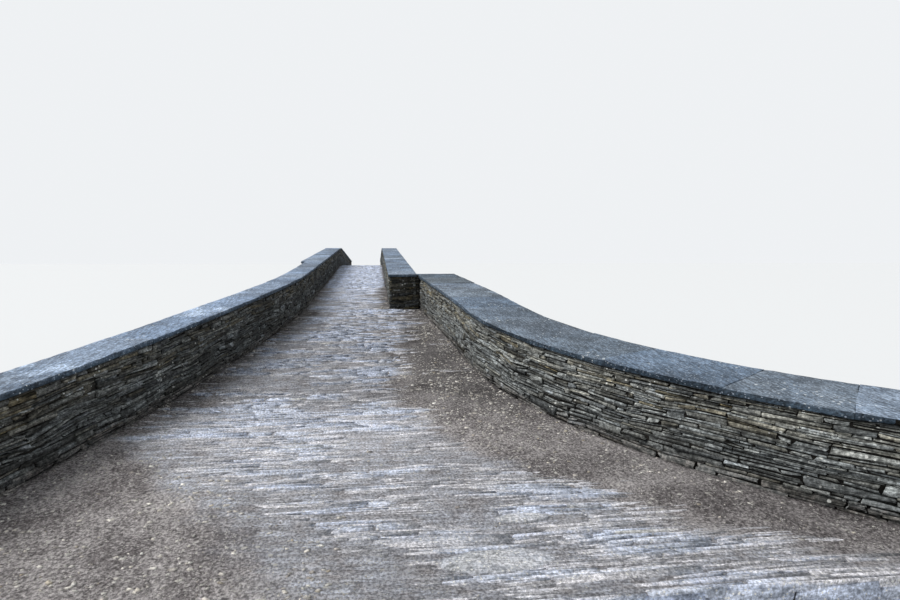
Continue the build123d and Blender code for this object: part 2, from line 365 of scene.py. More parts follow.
def stones(quads, kind, place, tints, rng, back=stone_back, material=0, taper=0.94):
    """Closed stones on a face: each quad's bilinear grid, pushed out by front, tilt and roughness.

    The corners pull in by the cube of a random value times the kind's raggedness, the inner points of the
    grid wander, the rim drops back by a share of the bevel, and the corners drop more, as chips. The back
    has the outline's four corners, tapered towards its middle."""
    n = len(quads)
    nu, nv = kind["grid"]
    bevel = kind["bevel"]
    size = np.hypot(*(quads[:, 1] - quads[:, 0]).T)
    height = (quads[:, 2, 1] + quads[:, 3, 1] - quads[:, 0, 1] - quads[:, 1, 1]) / 2
    signs = np.array([(1, 1), (-1, 1), (-1, -1), (1, -1)])
    ragged = kind["ragged"] * np.minimum(height, 0.03)[:, None, None]
    pull = kind["gap"] / 2 + rng.random((n, 4, 2)) ** 3 * ragged
    most_pull = np.stack([0.3 * size, 0.36 * height], -1)[:, None, :]
    corners = quads + signs * np.minimum(pull, most_pull)
    a = np.broadcast_to(across_steps(size, nu, bevel, rng)[:, None, :], (n, nv + 1, nu + 1))
    b = np.broadcast_to(across_steps(height, nv, bevel, rng)[:, :, None], (n, nv + 1, nu + 1))
    weights = np.stack([(1 - a) * (1 - b), a * (1 - b), a * b, (1 - a) * b], -1)
    flat = np.einsum("nkjc,ncx->nkjx", weights, corners)
    rim_j = np.isin(np.arange(nu + 1), (0, nu))
    rim_k = np.isin(np.arange(nv + 1), (0, nv))
    rim = (rim_j[None, :] | rim_k[:, None]).astype(float)
    corner = (rim_j[None, :] & rim_k[:, None]).astype(float)
    loose = np.minimum(kind["loose"] * height, 0.010)[:, None, None, None]
    flat += rng.uniform(-1, 1, flat.shape) * loose * (1 - corner)[..., None]
    front = rng.uniform(*kind["front"], n)
    tilt = rng.uniform(-1, 1, (2, n)) * kind["tilt"]
    depth = front[:, None, None] + tilt[0][:, None, None] * (a - 0.5) + tilt[1][:, None, None] * (b - 0.5)
    depth = depth + rng.uniform(-1, 1, a.shape) * kind["rough"]
    depth = depth - rim * bevel * 0.45 - corner * rng.uniform(0.1, 0.8, a.shape) * bevel
    depth = np.minimum(depth, kind["front"][1])
    centre = corners.mean(1, keepdims=True)
    back_flat = centre + (corners - centre) * taper
    u = np.concatenate([flat[..., 0].reshape(n, -1), back_flat[..., 0]], 1)
    v = np.concatenate([flat[..., 1].reshape(n, -1), back_flat[..., 1]], 1)
    d = np.concatenate([depth.reshape(n, -1), np.full((n, back_corners), -back)], 1)
    faces = stone_faces(nu, nv)
    if is_mirrored(place, u[0, 0], v[0, 0], d[0, 0]):
        faces = [face[::-1] for face in faces]
    per_stone = u.shape[1]
    loops = np.concatenate(faces)
    sizes = np.array([len(face) for face in faces])
    return dict(
        points=place(u, v, d).reshape(-1, 3),
        loops=(loops[None, :] + per_stone * np.arange(n)[:, None]).ravel(),
        sizes=np.tile(sizes, n),
        tints=np.repeat(tints, per_stone, 0),
        material=material,
    )


def closed_tube(rings, material=1):
    """Closed solid from rings of points carried along a path: quads between them and a cap at each end."""
    n, m = rings.shape[:2]
    index = np.arange(n * m).reshape(n, m)
    after = np.roll(index, -1, 1)
    quads = np.stack([index[:-1], after[:-1], after[1:], index[1:]], -1).reshape(-1, 4)
    points = rings.reshape(-1, 3)
    middle = points.mean(0)
    a, b, c, e = (points[quads[:, i]] - middle for i in range(4))
    volume = (np.cross(a, b) * c).sum() + (np.cross(a, c) * e).sum()
    caps = np.stack([index[0][::-1], index[-1]])
    if volume < 0:
        quads = quads[:, ::-1]
        caps = caps[:, ::-1]
    return dict(
        points=points,
        loops=np.concatenate([quads.ravel(), caps.ravel()]),
        sizes=np.array([4] * len(quads) + [m] * 2),
        tints=np.zeros((len(points), 4)),
        material=material,
    )


def turned_part(part):
    """The same part on the other half of the bridge, by half a turn about the middle of the plan."""
    return dict(part, points=part["points"] * (-1, -1, 1))


def make_piece(name, parts, materials, nodes, smooth_angle=None):
    """One mesh object from parts, with each stone's own values in the point attribute stone."""
    starts = np.cumsum([0] + [len(part["points"]) for part in parts])
    points = np.concatenate([part["points"] for part in parts]).astype(np.float32)
    points = np.clip(points, *np.array(cad_box, np.float32))
    loops = np.concatenate([part["loops"] + start for part, start in zip(parts, starts)])
    sizes = np.concatenate([part["sizes"] for part in parts])
    tints = np.concatenate([part["tints"] for part in parts]).astype(np.float32)
    kinds = np.concatenate([np.full(len(part["sizes"]), part["material"]) for part in parts])
    mesh = bpy.data.meshes.new(name)
    mesh.vertices.add(len(points))
    mesh.vertices.foreach_set("co", points.ravel())
    mesh.loops.add(len(loops))
    mesh.loops.foreach_set("vertex_index", loops.astype(np.int32))
    mesh.polygons.add(len(sizes))
    mesh.polygons.foreach_set("loop_start", np.concatenate([[0], np.cumsum(sizes)[:-1]]).astype(np.int32))
    mesh.polygons.foreach_set("material_index", kinds.astype(np.int32))
    mesh.update(calc_edges=True)
    attribute = mesh.attributes.new("stone", "FLOAT_COLOR", "POINT")
    attribute.data.foreach_set("color", tints.ravel())
    for material in materials:
        mesh.materials.append(material)
    if smooth_angle:
        mesh.shade_smooth()
        mesh.set_sharp_from_angle(angle=radians(smooth_angle))
    obj = bpy.data.objects.new(name, mesh)
    bpy.context.scene.collection.objects.link(obj)
    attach(obj, "root")
    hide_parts(*nodes)


def stone_piece(node, parts, slot):
    """Piece of stones of one of the facings, with dark earth in its joints, in place of a node."""
    make_piece(f"{node}_stones", parts, [facings[slot], joint_earth], [node])


def stone_tints(n, rng, tone=0.5, spread=0.22, ochre=0.06, pale=0.05, damp=0.0):
    """Each stone's tone, ochre share, pale share and damp or dust, from 0 to 1."""
    tints = np.zeros((n, 4))
    tints[:, 0] = np.clip(rng.normal(tone, spread, n), 0, 1)
    tints[:, 1] = np.where(rng.random(n) < ochre, rng.uniform(0.35, 1.0, n), rng.uniform(0, 0.22, n))
    tints[:, 2] = np.where(rng.random(n) < pale, rng.uniform(0.4, 1.0, n), rng.uniform(0, 0.25, n))
    tints[:, 3] = damp
    return tints


# Materials

class Graph:
    """Nodes of a material, a world or a node group.

    What goes into a node is a plain value, or another node's output."""

    def __init__(self, tree):
        self.nodes = tree.nodes
        self.links = tree.links

    def fill(self, sockets, values):
        """Links or sets sockets, given by name or by number."""
        for key, value in values.items():
            if isinstance(value, bpy.types.NodeSocket):
                self.links.new(value, sockets[key])
            else:
                sockets[key].default_value = value

    def node(self, kind, values=None, **settings):
        """New node of a kind, with its settings and with values for its inputs."""
        node = self.nodes.new(f"ShaderNode{kind}")
        for name, setting in settings.items():
            setattr(node, name, setting)
        self.fill(node.inputs, values or {})
        return node

    def group(self, tree, **values):
        """Outputs of a node group."""
        return self.node("Group", values, node_tree=tree).outputs

    def place(self):
        """Coordinates on the object."""
        return self.node("TexCoord").outputs["Object"]

    def mix(self, factor, a, b):
        """Mix of two colours."""
        a, b = ((*colour, 1) if isinstance(colour, tuple) else colour for colour in (a, b))
        return self.node("Mix", {0: factor, 6: a, 7: b}, data_type="RGBA").outputs[2]

    def maths(self, operation, *values):
        """Result of one operation on values."""
        return self.node("Math", dict(enumerate(values)), operation=operation).outputs[0]

    def span(self, value, low, high, to_low=0.0, to_high=1.0):
        """Value eased from one range to another, clamped."""
        ends = {"From Min": low, "From Max": high, "To Min": to_low, "To Max": to_high}
        return self.node("MapRange", {"Value": value, **ends}, interpolation_type="SMOOTHSTEP").outputs[0]

    def noise(self, where, scale, detail=4.0, roughness=0.55):
        """Cloudy noise between 0 and 1."""
        values = {"Vector": where, "Scale": scale, "Detail": detail, "Roughness": roughness}
        return self.node("TexNoise", values).outputs["Fac"]

    def cells(self, where, scale):
        """Scattered cells: the distance from each one's middle, and a random value of its own."""
        cells = self.node("TexVoronoi", {"Vector": where, "Scale": scale}).outputs
        return cells["Distance"], cells["Color"]

    def scaled(self, colour, by):
        """Colour times a value."""
        return self.node("VectorMath", {0: colour, "Scale": by}, operation="SCALE").outputs[0]


def new_material(name):
    """Material, its graph and its shader."""
    material = bpy.data.materials.new(name)
    material.use_nodes = True
    graph = Graph(material.node_tree)
    return material, graph, graph.nodes["Principled BSDF"]


def stone_values(graph):
    """Tone, ochre share, pale share and dust of each point, from the attribute stone."""
    stone = graph.node("Attribute", attribute_name="stone").outputs
    return *graph.node("SeparateColor", {0: stone["Color"]}).outputs, stone["Alpha"]


def fill_shader(graph, shader, colour, roughness, bump, relief, height):
    """Colour, roughness, dull gloss and bump of a material."""
    bumped = graph.node("Bump", {"Strength": bump, "Distance": relief, "Height": height})
    graph.fill(shader.inputs, {
        "Base Color": colour, "Roughness": roughness, "Specular IOR Level": slate_gloss,
        "Normal": bumped.outputs[0],
    })


def new_group(name, inputs, outputs):
    """Shader node group: inputs are (label, kind of socket, value), outputs are labels of values."""
    group = bpy.data.node_groups.new(name, "ShaderNodeTree")
    for label, kind, value in inputs:
        socket = group.interface.new_socket(name=label, in_out="INPUT", socket_type=kind)
        socket.default_value = value
    for label in outputs:
        group.interface.new_socket(name=label, in_out="OUTPUT", socket_type="NodeSocketFloat")
    given = group.nodes.new("NodeGroupInput").outputs
    out = group.nodes.new("NodeGroupOutput").inputs
    return group, Graph(group), given, out


def bedding_grain_group():
    """Slate's leaves: noise squeezed across the bedding, which gives long fine lines.

    With it come slow drifts, patches, mottles, specks and grit, and a height from lines, mottles and grit."""
    group, graph, given, out = new_group(
        "bedding_grain",
        [("Across", "NodeSocketVector", (1, 1, 12)), ("Scale", "NodeSocketFloat", 9.0)],
        ["Lines", "Patches", "Drift", "Mottle", "Grain", "Specks", "Height"],
    )
    where = graph.place()
    squeezed = graph.node("VectorMath", {0: where, 1: given["Across"]}, operation="MULTIPLY").outputs[0]
    lines = graph.noise(squeezed, given["Scale"], 5.0, 0.62)
    mottle = graph.noise(where, 26.0, 5.0, 0.68)
    grit = graph.noise(where, 120.0, 3.0, 0.65)
    height = graph.maths("MULTIPLY_ADD", lines, 0.7, graph.maths("MULTIPLY", mottle, 0.6))
    graph.fill(out, {
        "Lines": lines,
        "Patches": graph.noise(where, 6.0, 5.0, 0.6),
        "Drift": graph.noise(where, 1.6, 8.0, 0.65),
        "Mottle": mottle,
        "Grain": graph.span(grit, 0.35, 0.65, 0.7, 1.3),
        "Specks": graph.noise(where, 62.0, 2.0, 0.6),
        "Height": graph.maths("MULTIPLY_ADD", grit, 0.25, height),
    })
    return group


def lichen_group():
    """Round pale spots in clusters: cell distances under a threshold, where a slow noise allows them."""
    group, graph, given, out = new_group(
        "lichen_spots", [("Scale", "NodeSocketFloat", 14.0), ("Amount", "NodeSocketFloat", 0.5)], ["Mask"]
    )
    where = graph.place()
    distance, own = graph.cells(where, given["Scale"])
    allowed = graph.span(graph.noise(where, 1.7, 3.0), 0.44, 0.66)
    size = graph.maths("MULTIPLY", graph.maths("MULTIPLY", given["Amount"], 0.45), allowed)
    size = graph.maths("MULTIPLY", size, own)
    ragged = graph.maths("MULTIPLY_ADD", graph.noise(where, 90.0, 2.0), 0.12, -0.06)
    inside = graph.maths("SUBTRACT", size, graph.maths("ADD", distance, ragged))
    graph.fill(out, {"Mask": graph.span(inside, 0.0, 0.05)})
    return group


def grit_group():
    """Scattered crumbs: cell distances under a size that is above nothing in about a third of the cells."""
    group, graph, given, out = new_group("grit_spots", [("Scale", "NodeSocketFloat", 40.0)], ["Mask"])
    where = graph.place()
    distance, own = graph.cells(where, given["Scale"])
    size = graph.span(own, 0.45, 0.85, -0.1, 0.42)
    distance = graph.maths("MULTIPLY_ADD", graph.noise(where, 160.0, 2.0), 0.35, distance)
    inside = graph.maths("SUBTRACT", size, graph.maths("SUBTRACT", distance, 0.17))
    graph.fill(out, {"Mask": graph.span(inside, 0.0, 0.08)})
    return group


bedding_grain = bedding_grain_group()
lichen_spots = lichen_group()
grit_spots = grit_group()


def slate_material(
    name, dark, light, ochre, pale, across, grain, lichen=0.5, lichen_colour=(0.62, 0.63, 0.60),
    dust_colour=(0.24, 0.20, 0.16), roughness=0.8, bump=0.5, relief=0.014, speckle=0.25, mottling=0.4,
    film=0.0, drift=0.15, crumbs=None, specks=0.15,
):
    """Slate: the tone, ochre share and pale share of each stone, shaded by lines, mottles and specks.

    Over them lie pale lichen, the dust or damp of each point, a slow film of it, and crumbs of a colour."""
    material, graph, shader = new_material(name)
    tone, ochre_share, pale_share, dust = stone_values(graph)
    leaf = graph.group(bedding_grain, Across=across, Scale=grain)
    base = graph.mix(tone, dark, light)
    stained = graph.span(leaf["Patches"], 0.35, 0.7, 0.55, 1.0)
    base = graph.mix(graph.maths("MULTIPLY", ochre_share, stained), base, ochre)
    whiter = graph.maths("MULTIPLY", pale_share, graph.span(leaf["Patches"], 0.42, 0.62))
    base = graph.mix(whiter, base, pale)
    shade = graph.span(leaf["Lines"], 0.32, 0.68, 1 - speckle, 1 + speckle)
    for layer, depth in (("Mottle", mottling), ("Drift", drift), ("Specks", specks)):
        shade = graph.maths("MULTIPLY", shade, graph.span(leaf[layer], 0.36, 0.64, 1 - depth, 1 + depth))
    spots = graph.group(lichen_spots, Amount=lichen, Scale=24.0)
    coloured = graph.mix(spots["Mask"], graph.scaled(base, shade), lichen_colour)
    uneven = graph.maths("MULTIPLY_ADD", leaf["Lines"], 0.7, -0.8)
    uneven = graph.maths("MULTIPLY_ADD", leaf["Mottle"], 0.9, uneven)
    settled = graph.maths("ADD", dust, uneven)
    if film:
        slow = graph.maths("MULTIPLY_ADD", leaf["Drift"], film, -0.5 * film)
        settled = graph.maths("ADD", settled, slow)
    dusted = graph.span(settled, 0.15, 0.65, 0.0, 0.9)
    by_tone = graph.maths("MULTIPLY_ADD", tone, 0.6, 0.7)
    dust_shade = graph.maths("MULTIPLY", graph.maths("MULTIPLY", leaf["Grain"], shade), by_tone)
    coloured = graph.mix(dusted, coloured, graph.scaled(dust_colour, dust_shade))
    if crumbs:
        coloured = graph.mix(graph.group(grit_spots, Scale=60.0)["Mask"], coloured, crumbs)
    rough = graph.span(leaf["Patches"], 0.3, 0.7, roughness - 0.1, roughness + 0.1)
    fill_shader(graph, shader, coloured, rough, bump, relief, leaf["Height"])
    return material


def earth_material(name, dark, light, bump, crumbs=None, ridges=None):
    """Earth or joint filling: patches of two browns with grit.

    With crumbs and ridges it also has each point's own tone, which carries painted shade, fine specks and
    drifts of pale crumbs, and each point's slate share brings out thin ridges of slates across the road that
    show through the dust."""
    material, graph, shader = new_material(name)
    where = graph.place()
    patches = graph.noise(where, 2.2, 8.0, 0.68)
    grit = graph.noise(where, 42.0, 8.0, 0.75)
    mixed = graph.maths("MULTIPLY_ADD", grit, 0.6, graph.maths("MULTIPLY", patches, 0.4))
    coloured = graph.mix(graph.span(mixed, 0.40, 0.61), dark, light)
    height = grit
    if crumbs:
        tone_and_shade, slate_share, _, _ = stone_values(graph)
        leaf = graph.group(bedding_grain, Across=(11, 1, 1), Scale=3.4)
        lines = graph.span(leaf["Lines"], 0.40, 0.60)
        showing = graph.span(leaf["Patches"], 0.30, 0.62, 0.25, 1.0)
        showing = graph.maths("MULTIPLY", showing, slate_share)
        coloured = graph.mix(showing, coloured, graph.mix(lines, *ridges))
        fine = graph.span(leaf["Specks"], 0.36, 0.64, 0.6, 1.4)
        tone_and_shade = graph.maths("MULTIPLY_ADD", tone_and_shade, 1.4, 0.5)
        coloured = graph.scaled(coloured, graph.maths("MULTIPLY", tone_and_shade, fine))
        for scale, low, high in ((26.0, 0.50, 0.62), (70.0, 0.36, 0.56)):
            spots = graph.group(grit_spots, Scale=scale)["Mask"]
            drifts = graph.span(leaf["Patches"], low, high, 0.0, 0.9)
            coloured = graph.mix(graph.maths("MULTIPLY", spots, drifts), coloured, crumbs)
        height = graph.maths("MULTIPLY_ADD", graph.maths("MULTIPLY", lines, showing), 0.4, grit)
    fill_shader(graph, shader, coloured, 0.95, bump, 0.03, height)
    return material


wall_slate = slate_material(
    "wall_slate", (0.033, 0.036, 0.037), (0.262, 0.284, 0.289), (0.31, 0.243, 0.108), (0.42, 0.46, 0.49),
    (1, 1, 10), 14.0, lichen=0.9, mottling=0.5, speckle=0.5, bump=0.7, dust_colour=(0.17, 0.155, 0.145),
    specks=0.35,
)
dressed_slate = slate_material(
    "dressed_slate", (0.055, 0.057, 0.057), (0.23, 0.235, 0.23), (0.28, 0.22, 0.11), (0.42, 0.42, 0.40),
    (2, 2, 5), 10.0, lichen=0.8,
)
# Coping slate: its blue is partly the slate's own blue-grey and partly painted sky reflection.
coping_slate = slate_material(
    "coping_slate", (0.040, 0.064, 0.090), (0.192, 0.258, 0.372), (0.28, 0.25, 0.18), (0.33, 0.405, 0.52),
    (0.9, 8, 8), 7.0, lichen=0.8, roughness=0.75, bump=0.5, relief=0.008, speckle=0.40, mottling=0.25,
    lichen_colour=(0.60, 0.64, 0.66), drift=0.35, crumbs=(0.33, 0.385, 0.46), specks=0.35,
)
# Paving slate: its blue-grey is partly the slate's own colour and partly painted sky reflection seen at
# grazing angles.
paving_slate = slate_material(
    "paving_slate", (0.19, 0.222, 0.295), (0.56, 0.61, 0.735), (0.42, 0.39, 0.30), (0.66, 0.74, 0.95),
    (10, 1, 3), 14.0, lichen=0.3, dust_colour=(0.41, 0.40, 0.415), speckle=0.35, mottling=0.16, film=0.4,
    crumbs=(0.66, 0.65, 0.62), specks=0.35,
)
joint_earth = earth_material("joint_earth", (0.010, 0.009, 0.008), (0.035, 0.031, 0.026), 0.6)
path_earth = earth_material(
    "path_earth", (0.085, 0.075, 0.076), (0.40, 0.374, 0.373), 1.0, crumbs=(0.64, 0.62, 0.58),
    ridges=((0.27, 0.272, 0.295), (0.46, 0.475, 0.535)),
)
rubble_core = earth_material("rubble_core", (0.05, 0.045, 0.04), (0.16, 0.14, 0.12), 0.8)
chip_stone = slate_material(
    "chip_stone", (0.28, 0.26, 0.25), (0.66, 0.64, 0.60), (0.40, 0.33, 0.22), (0.85, 0.84, 0.79),
    (3, 3, 3), 20.0, lichen=0.0,
)
facings = {"wall_slate": wall_slate, "dressed_slate": dressed_slate}


# Walls

def bed(x):
    """The level that everything is founded on."""
    return 0 * x


def under_paving(x):
    """Level of the paving's bed at x: its own level less its depth."""
    return deck(x) - paving_depth


def wall_core(wall, s0, s1, low, high, inner=None, step=0.25):
    """Dark heart of a wall behind its stones: a section carried along the wall, cut to levels by x.

    A wing's heart has a jog where it comes out from beside the stepped wall."""
    s = np.linspace(s0, s1, max(2, int(abs(s1 - s0) / step) + 1))
    if inner is not None:
        jog = wing_overlap - core_inset
        s = np.sort(np.append(s, (jog - 0.002, jog)))
    near = np.full_like(s, core_inset) if inner is None else inner(s)
    away = np.full_like(s, wall.thickness - core_inset)
    rings = np.zeros((len(s), 4, 3))
    for i, (offset, level) in enumerate(((near, low), (away, low), (away, high), (near, high))):
        rings[:, i, 0], rings[:, i, 1] = wall.plan(s, offset)
        rings[:, i, 2] = level(rings[:, i, 0])
    return closed_tube(rings)


def clip_levels(quads, floor, ceiling):
    """Cuts stones to what lies above a floor line and below a ceiling line, and drops what is too small."""
    u = quads[..., 0]
    v = np.minimum(quads[..., 1], ceiling(u) - bedding / 2)
    v = np.maximum(v, floor(u) + bedding / 2)
    clipped = np.stack([u, v], -1)
    height = (v[:, 2] + v[:, 3] - v[:, 0] - v[:, 1]) / 2
    length = (u[:, 1] + u[:, 2] - u[:, 0] - u[:, 3]) / 2
    return clipped[(height > thinnest_stone) & (length > shortest_stone)]


def clip_ends(quads, left, right):
    """Cuts the ends of stones to two lines, given as functions of the level."""
    u = np.clip(quads[..., 0], left(quads[..., 1]), right(quads[..., 1]))
    return np.stack([u, quads[..., 1]], -1)


def clip_arches(quads, circles):
    """Cuts the stones beside each arch back to the circle of its back, at the level of each corner."""
    for centre, radius in circles:
        half = np.sqrt(np.maximum(radius ** 2 - np.maximum(quads[..., 1] - springing, 0) ** 2, 0))
        u = quads[..., 0]
        before = (u.mean(1) < centre)[:, None]
        u = np.where(before, np.minimum(u, centre - half), np.maximum(u, centre + half))
        quads = np.stack([u, quads[..., 1]], -1)
    return quads


def wall_tints(quads, rng, tone):
    """Tints of a face's stones: every stone is a little warm, and ochre ones come in clusters high up."""
    ochre = 0.03
    tints = stone_tints(len(quads), rng, tone=tone, spread=0.26, ochre=ochre)
    centre = quads.mean(1)
    cluster = ease(noise(centre[:, 0], centre[:, 1], 0.5, 11), 0.15, 0.7)
    high = 0.5 + ease(centre[:, 1] - centre[:, 1].min(), 0.30, 0.50)
    stained = rng.random(len(quads)) < 11 * ochre * cluster * high
    tints[stained, 1] = rng.uniform(0.3, 0.9, stained.sum())
    warm = np.clip(tints[:, 1] + 0.4 * rng.random(len(quads)) ** 2, 0, 1)
    tints[:, 1] = warm * min(1, 0.45 + tone)
    return tints


def parapet_face(wall, face, s0, s1, low, kind, seed, tone):
    """Stones of a parapet's road face or outer face; each point close under the coping is darkened almost to
    black, as painted shade.

    The road face gets paler towards the mouth, and at its foot it is darker with painted shade where it meets
    the paving, dusty and without ochre."""
    quads, rng = lay_slates(s0, s1, low, wall.masonry_top - bedding, kind, seed)
    tints = wall_tints(quads, rng, tone)
    if face == "road":
        level = quads[:, 3, 1]
        from_middle = np.abs(wall.plan(quads[:, 0, 0], 0)[0])
        tints[:, 0] *= 0.62 + 0.58 * ease(from_middle, 10, 18.5)
        # Painted shade at the road face's foot, where it meets the paving.
        tints[:, 0] *= 1 - 0.36 * (1 - ease(level, 0.05, 0.30))
        tints[:, 1] *= 0.3 + 0.7 * ease(level, 0.25, 0.50)
        tints[:, 3] = 0.45 * (1 - ease(level, 0.02, 0.16))
    part = stones(quads, kind, face_place(wall, face, True), tints, rng)
    # Painted shade under the coping: points within a few centimetres below it are darkened almost to black.
    x, _, z = part["points"].T
    below_coping = wall.masonry_top - (z - deck(x))
    part["tints"][:, :3] *= 0.1 + 0.9 * ease(below_coping, 0.008, 0.034)[:, None]
    return part


def end_face(wall, s, u0, u1, low, high, kind, seed, face="end", tone=0.4, ceiling=None):
    """Stones of a wall's end, across its thickness; with a ceiling, up is measured from the bed."""
    short = dict(kind, length=(0.10, 0.42))
    quads, rng = lay_slates(u0, u1, low, high, short, seed)
    if ceiling:
        quads = clip_levels(quads, bed, lambda u: ceiling(wall.plan(s, u)[0]))
    tints = stone_tints(len(quads), rng, tone=tone, spread=min(0.2, tone))
    return stones(quads, short, face_place(wall, face, ceiling is None, s), tints, rng)


def wedge(s):
    """Inner side of a wing wall's heart: in the stepped wall's outer face as far as they overlap."""
    beside = wall_outer - core_inset - wing_start_y - s * sin(wing_line.lead_angle)
    return np.where(s < wing_overlap - core_inset, beside, core_inset)


def parapet(name, stretches, seed, tone, end_tone=0.45, end_reach=0.0, wing=False):
    """A parapet: hearts, stones on both faces, and stones on the ends that show.

    stretches are (wall, start, end), one after the other, each with its own thickness. A wing's road face
    starts past the overlap, and is a little darker beside the butt end, as painted shade in the corner there."""
    (first, start, _), (_, _, end) = stretches[0], stretches[-1]
    top = first.masonry_top
    sunk = 0.03
    road_face = parapet_face(first, "road", start + wing_overlap * wing, end, -sunk, thin_slates, seed, tone)
    # Painted shade on the wing's road face in the corner beside the butt end.
    if wing:
        from_middle = np.abs(road_face["points"][:, 0])
        road_face["tints"][:, 0] *= 0.8 + 0.2 * ease(from_middle, 11.0, 14.0)
    parts = [road_face]
    narrower = [wall.thickness for wall, _, _ in stretches[1:]] + [0.0]
    for i, ((wall, s0, s1), inner) in enumerate(zip(stretches, narrower)):
        parts.append(wall_core(
            wall, s0 + core_inset * wing, s1 - core_inset, under_paving, lambda x: deck(x) + top - core_drop,
            inner=wedge if wing else None,
        ))
        parts.append(parapet_face(wall, "outer", s0, s1, -paving_depth, rough_slates, seed + 5 + i, 0.48))
        parts.append(end_face(
            wall, s1, inner, wall.thickness + end_reach, -paving_depth, top - bedding, thin_slates,
            seed + 9 + i, tone=end_tone,
        ))
    if wing:
        parts.append(end_face(
            first, start, wall_outer - wing_start_y, first.thickness, -paving_depth, top - bedding,
            rough_slates, seed + 7, face="start",
        ))
    stone_piece(name, parts, "wall_slate")


def coping(name, stretches, seed, tone, pale, wing=False):
    """Rows of wide riven slabs: uneven tops, oblique joints and chipped edges, inside the solid slabs.

    The slabs' long edges are darker than their tops, and their undersides are black, both as painted shade."""
    rng = np.random.default_rng(seed)
    slab = dict(
        grid=(12, 7), bevel=0.005, gap=0.001, ragged=(0.04, 0.12), loose=0.008, front=(-0.005, 0.0),
        tilt=0.005, rough=0.0022,
    )
    average = sum(coping_slab_lengths) / len(coping_slab_lengths)
    most_slant = 0.035
    core_setback = 0.03
    painted_edge_shade = 0.4
    parts = []
    for wall, s0, s1 in stretches:
        count = max(1, round((s1 - s0) / average))
        shares = np.array([coping_slab_lengths[i % len(coping_slab_lengths)] for i in range(count)])
        cuts = s0 + np.concatenate([[0], np.cumsum(shares)]) * (s1 - s0) / shares.sum()
        slants = rng.uniform(-1, 1, count + 1) * most_slant
        slants[[0, -1]] = 0
        low, high = edge_chip - coping_overhang, wall.thickness + coping_overhang - edge_chip
        quads = np.array([
            [(a - p, low), (b - q, low), (b + q, high), (a + p, high)]
            for a, b, p, q in zip(cuts, cuts[1:], slants, slants[1:])
        ])

        def place(u, v, d, wall=wall):
            x, y = wall.plan(u, v)
            return np.stack([x, y, deck(x) + wall.height + d], -1)

        tints = stone_tints(count, rng, tone=tone, spread=0.16, ochre=0.0, pale=pale)
        slabs = stones(quads, slab, place, tints, rng, back=coping_thickness, taper=0.999)
        # Painted shade: the slabs' long edges are darkened and their undersides made black, so their front
        # edges fade to dark.
        shades = slabs["tints"].reshape(count, -1, 4)
        tops, undersides = shades[:, :-back_corners], shades[:, -back_corners:]
        row = slab["grid"][0] + 1
        for long_edge in (tops[:, :row], tops[:, -row:]):
            long_edge[..., :3] *= painted_edge_shade
        undersides[..., :3] = 0
        parts.append(slabs)
        parts.append(wall_core(
            wall, s0 + core_setback, s1 - core_setback, lambda x, top=wall.masonry_top: deck(x) + top,
            lambda x, top=wall.height: deck(x) + top - core_drop, inner=wedge if wing else None,
        ))
    make_piece(
        f"{name}_slabs", parts, [coping_slate, joint_earth], [name], smooth_angle=32
    )


def damp_foot(tints, level):
    """Stones near the bed are darker, by up to half."""
    damp_height = 0.5
    tints[:, 0] *= 1 - 0.5 * np.clip(1 - level / damp_height, 0, 1)
    return tints


def ramp_side(node, wall, s0, s1, seed, ends=(), inner=None):
    """Masonry of one wall under the paving's level: heart, outer face, and the ends that show."""
    def top(u):
        return under_paving(wall.plan(u, wall.thickness)[0])

    highest = float(np.max(top(np.array([s0, s1]))))
    quads, rng = lay_slates(s0, s1, 0, highest, rough_slates, seed)
    quads = clip_levels(quads, bed, top)
    tints = damp_foot(wall_tints(quads, rng, 0.46), quads[:, 0, 1])
    heart = wall_core(
        wall, s0 + core_inset * ("start" in ends), s1 - core_inset * ("end" in ends), bed, under_paving,
        inner=inner,
    )
    parts = [heart, stones(quads, rough_slates, face_place(wall, "outer", False), tints, rng)]
    for face in ends:
        s, u0 = (s0, wall_outer - wing_start_y) if face == "start" else (s1, 0)
        parts.append(end_face(
            wall, s, u0, wall.thickness, 0, highest, rough_slates, seed + 1, face=face, ceiling=under_paving
        ))
    stone_piece(node, parts, "wall_slate")


def spandrels(side, wall, seed):
    """Face walls over the three arches on one side, from the springing to the paving's bed.

    They are laid as one wall and shared out; the stones hidden behind a cutwater are left out."""
    sign = wall.x_sign
    middle = -sign * crest_x
    start, end = middle - arch_zone_half, middle + arch_zone_half
    circles = [(-sign * x, span / 2 + depth) for x, span, depth in arches.values()]
    hidden_half = 0.42

    def arch_backs(u):
        level = np.full_like(u, springing)
        for centre, radius in circles:
            level = np.maximum(level, springing + np.sqrt(np.maximum(radius ** 2 - (u - centre) ** 2, 0)))
        return level

    def top(u):
        return under_paving(-sign * u)

    quads, rng = lay_slates(start, end, springing, crest_level - paving_depth, rough_slates, seed)
    quads = clip_levels(clip_arches(quads, circles), arch_backs, top)
    tints = wall_tints(quads, rng, 0.46)
    x = -sign * quads[..., 0].mean(1)
    near_pier, far_pier = crest_x - pier_offset, crest_x + pier_offset
    behind = np.zeros(len(quads), bool)
    for pier_x in (near_pier, far_pier):
        behind |= (np.abs(x - pier_x) < hidden_half) & (quads[:, 3, 1] < cutwater_height)
    place = face_place(wall, "outer", False)
    for name, x0, x1 in (
        ("near", crest_x - arch_zone_half, near_pier), ("main", near_pier, far_pier),
        ("far", far_pier, crest_x + arch_zone_half),
    ):
        chosen = (x >= x0) & (x < x1) & ~behind
        u0, u1 = sorted((-sign * x0, -sign * x1))
        heart = wall_core(wall, u0, u1, lambda x: arch_backs(-sign * x) - 0.02, under_paving, step=0.06)
        parts = [heart, stones(quads[chosen], rough_slates, place, tints[chosen], rng)]
        if np.isclose(u1, end):
            parts.append(end_face(
                wall, end, long_wall_thickness, wall.thickness, 0, crest_level, rough_slates, seed + 3,
                ceiling=under_paving,
            ))
        stone_piece(f"{name}_{side}_spandrel", parts, "wall_slate")


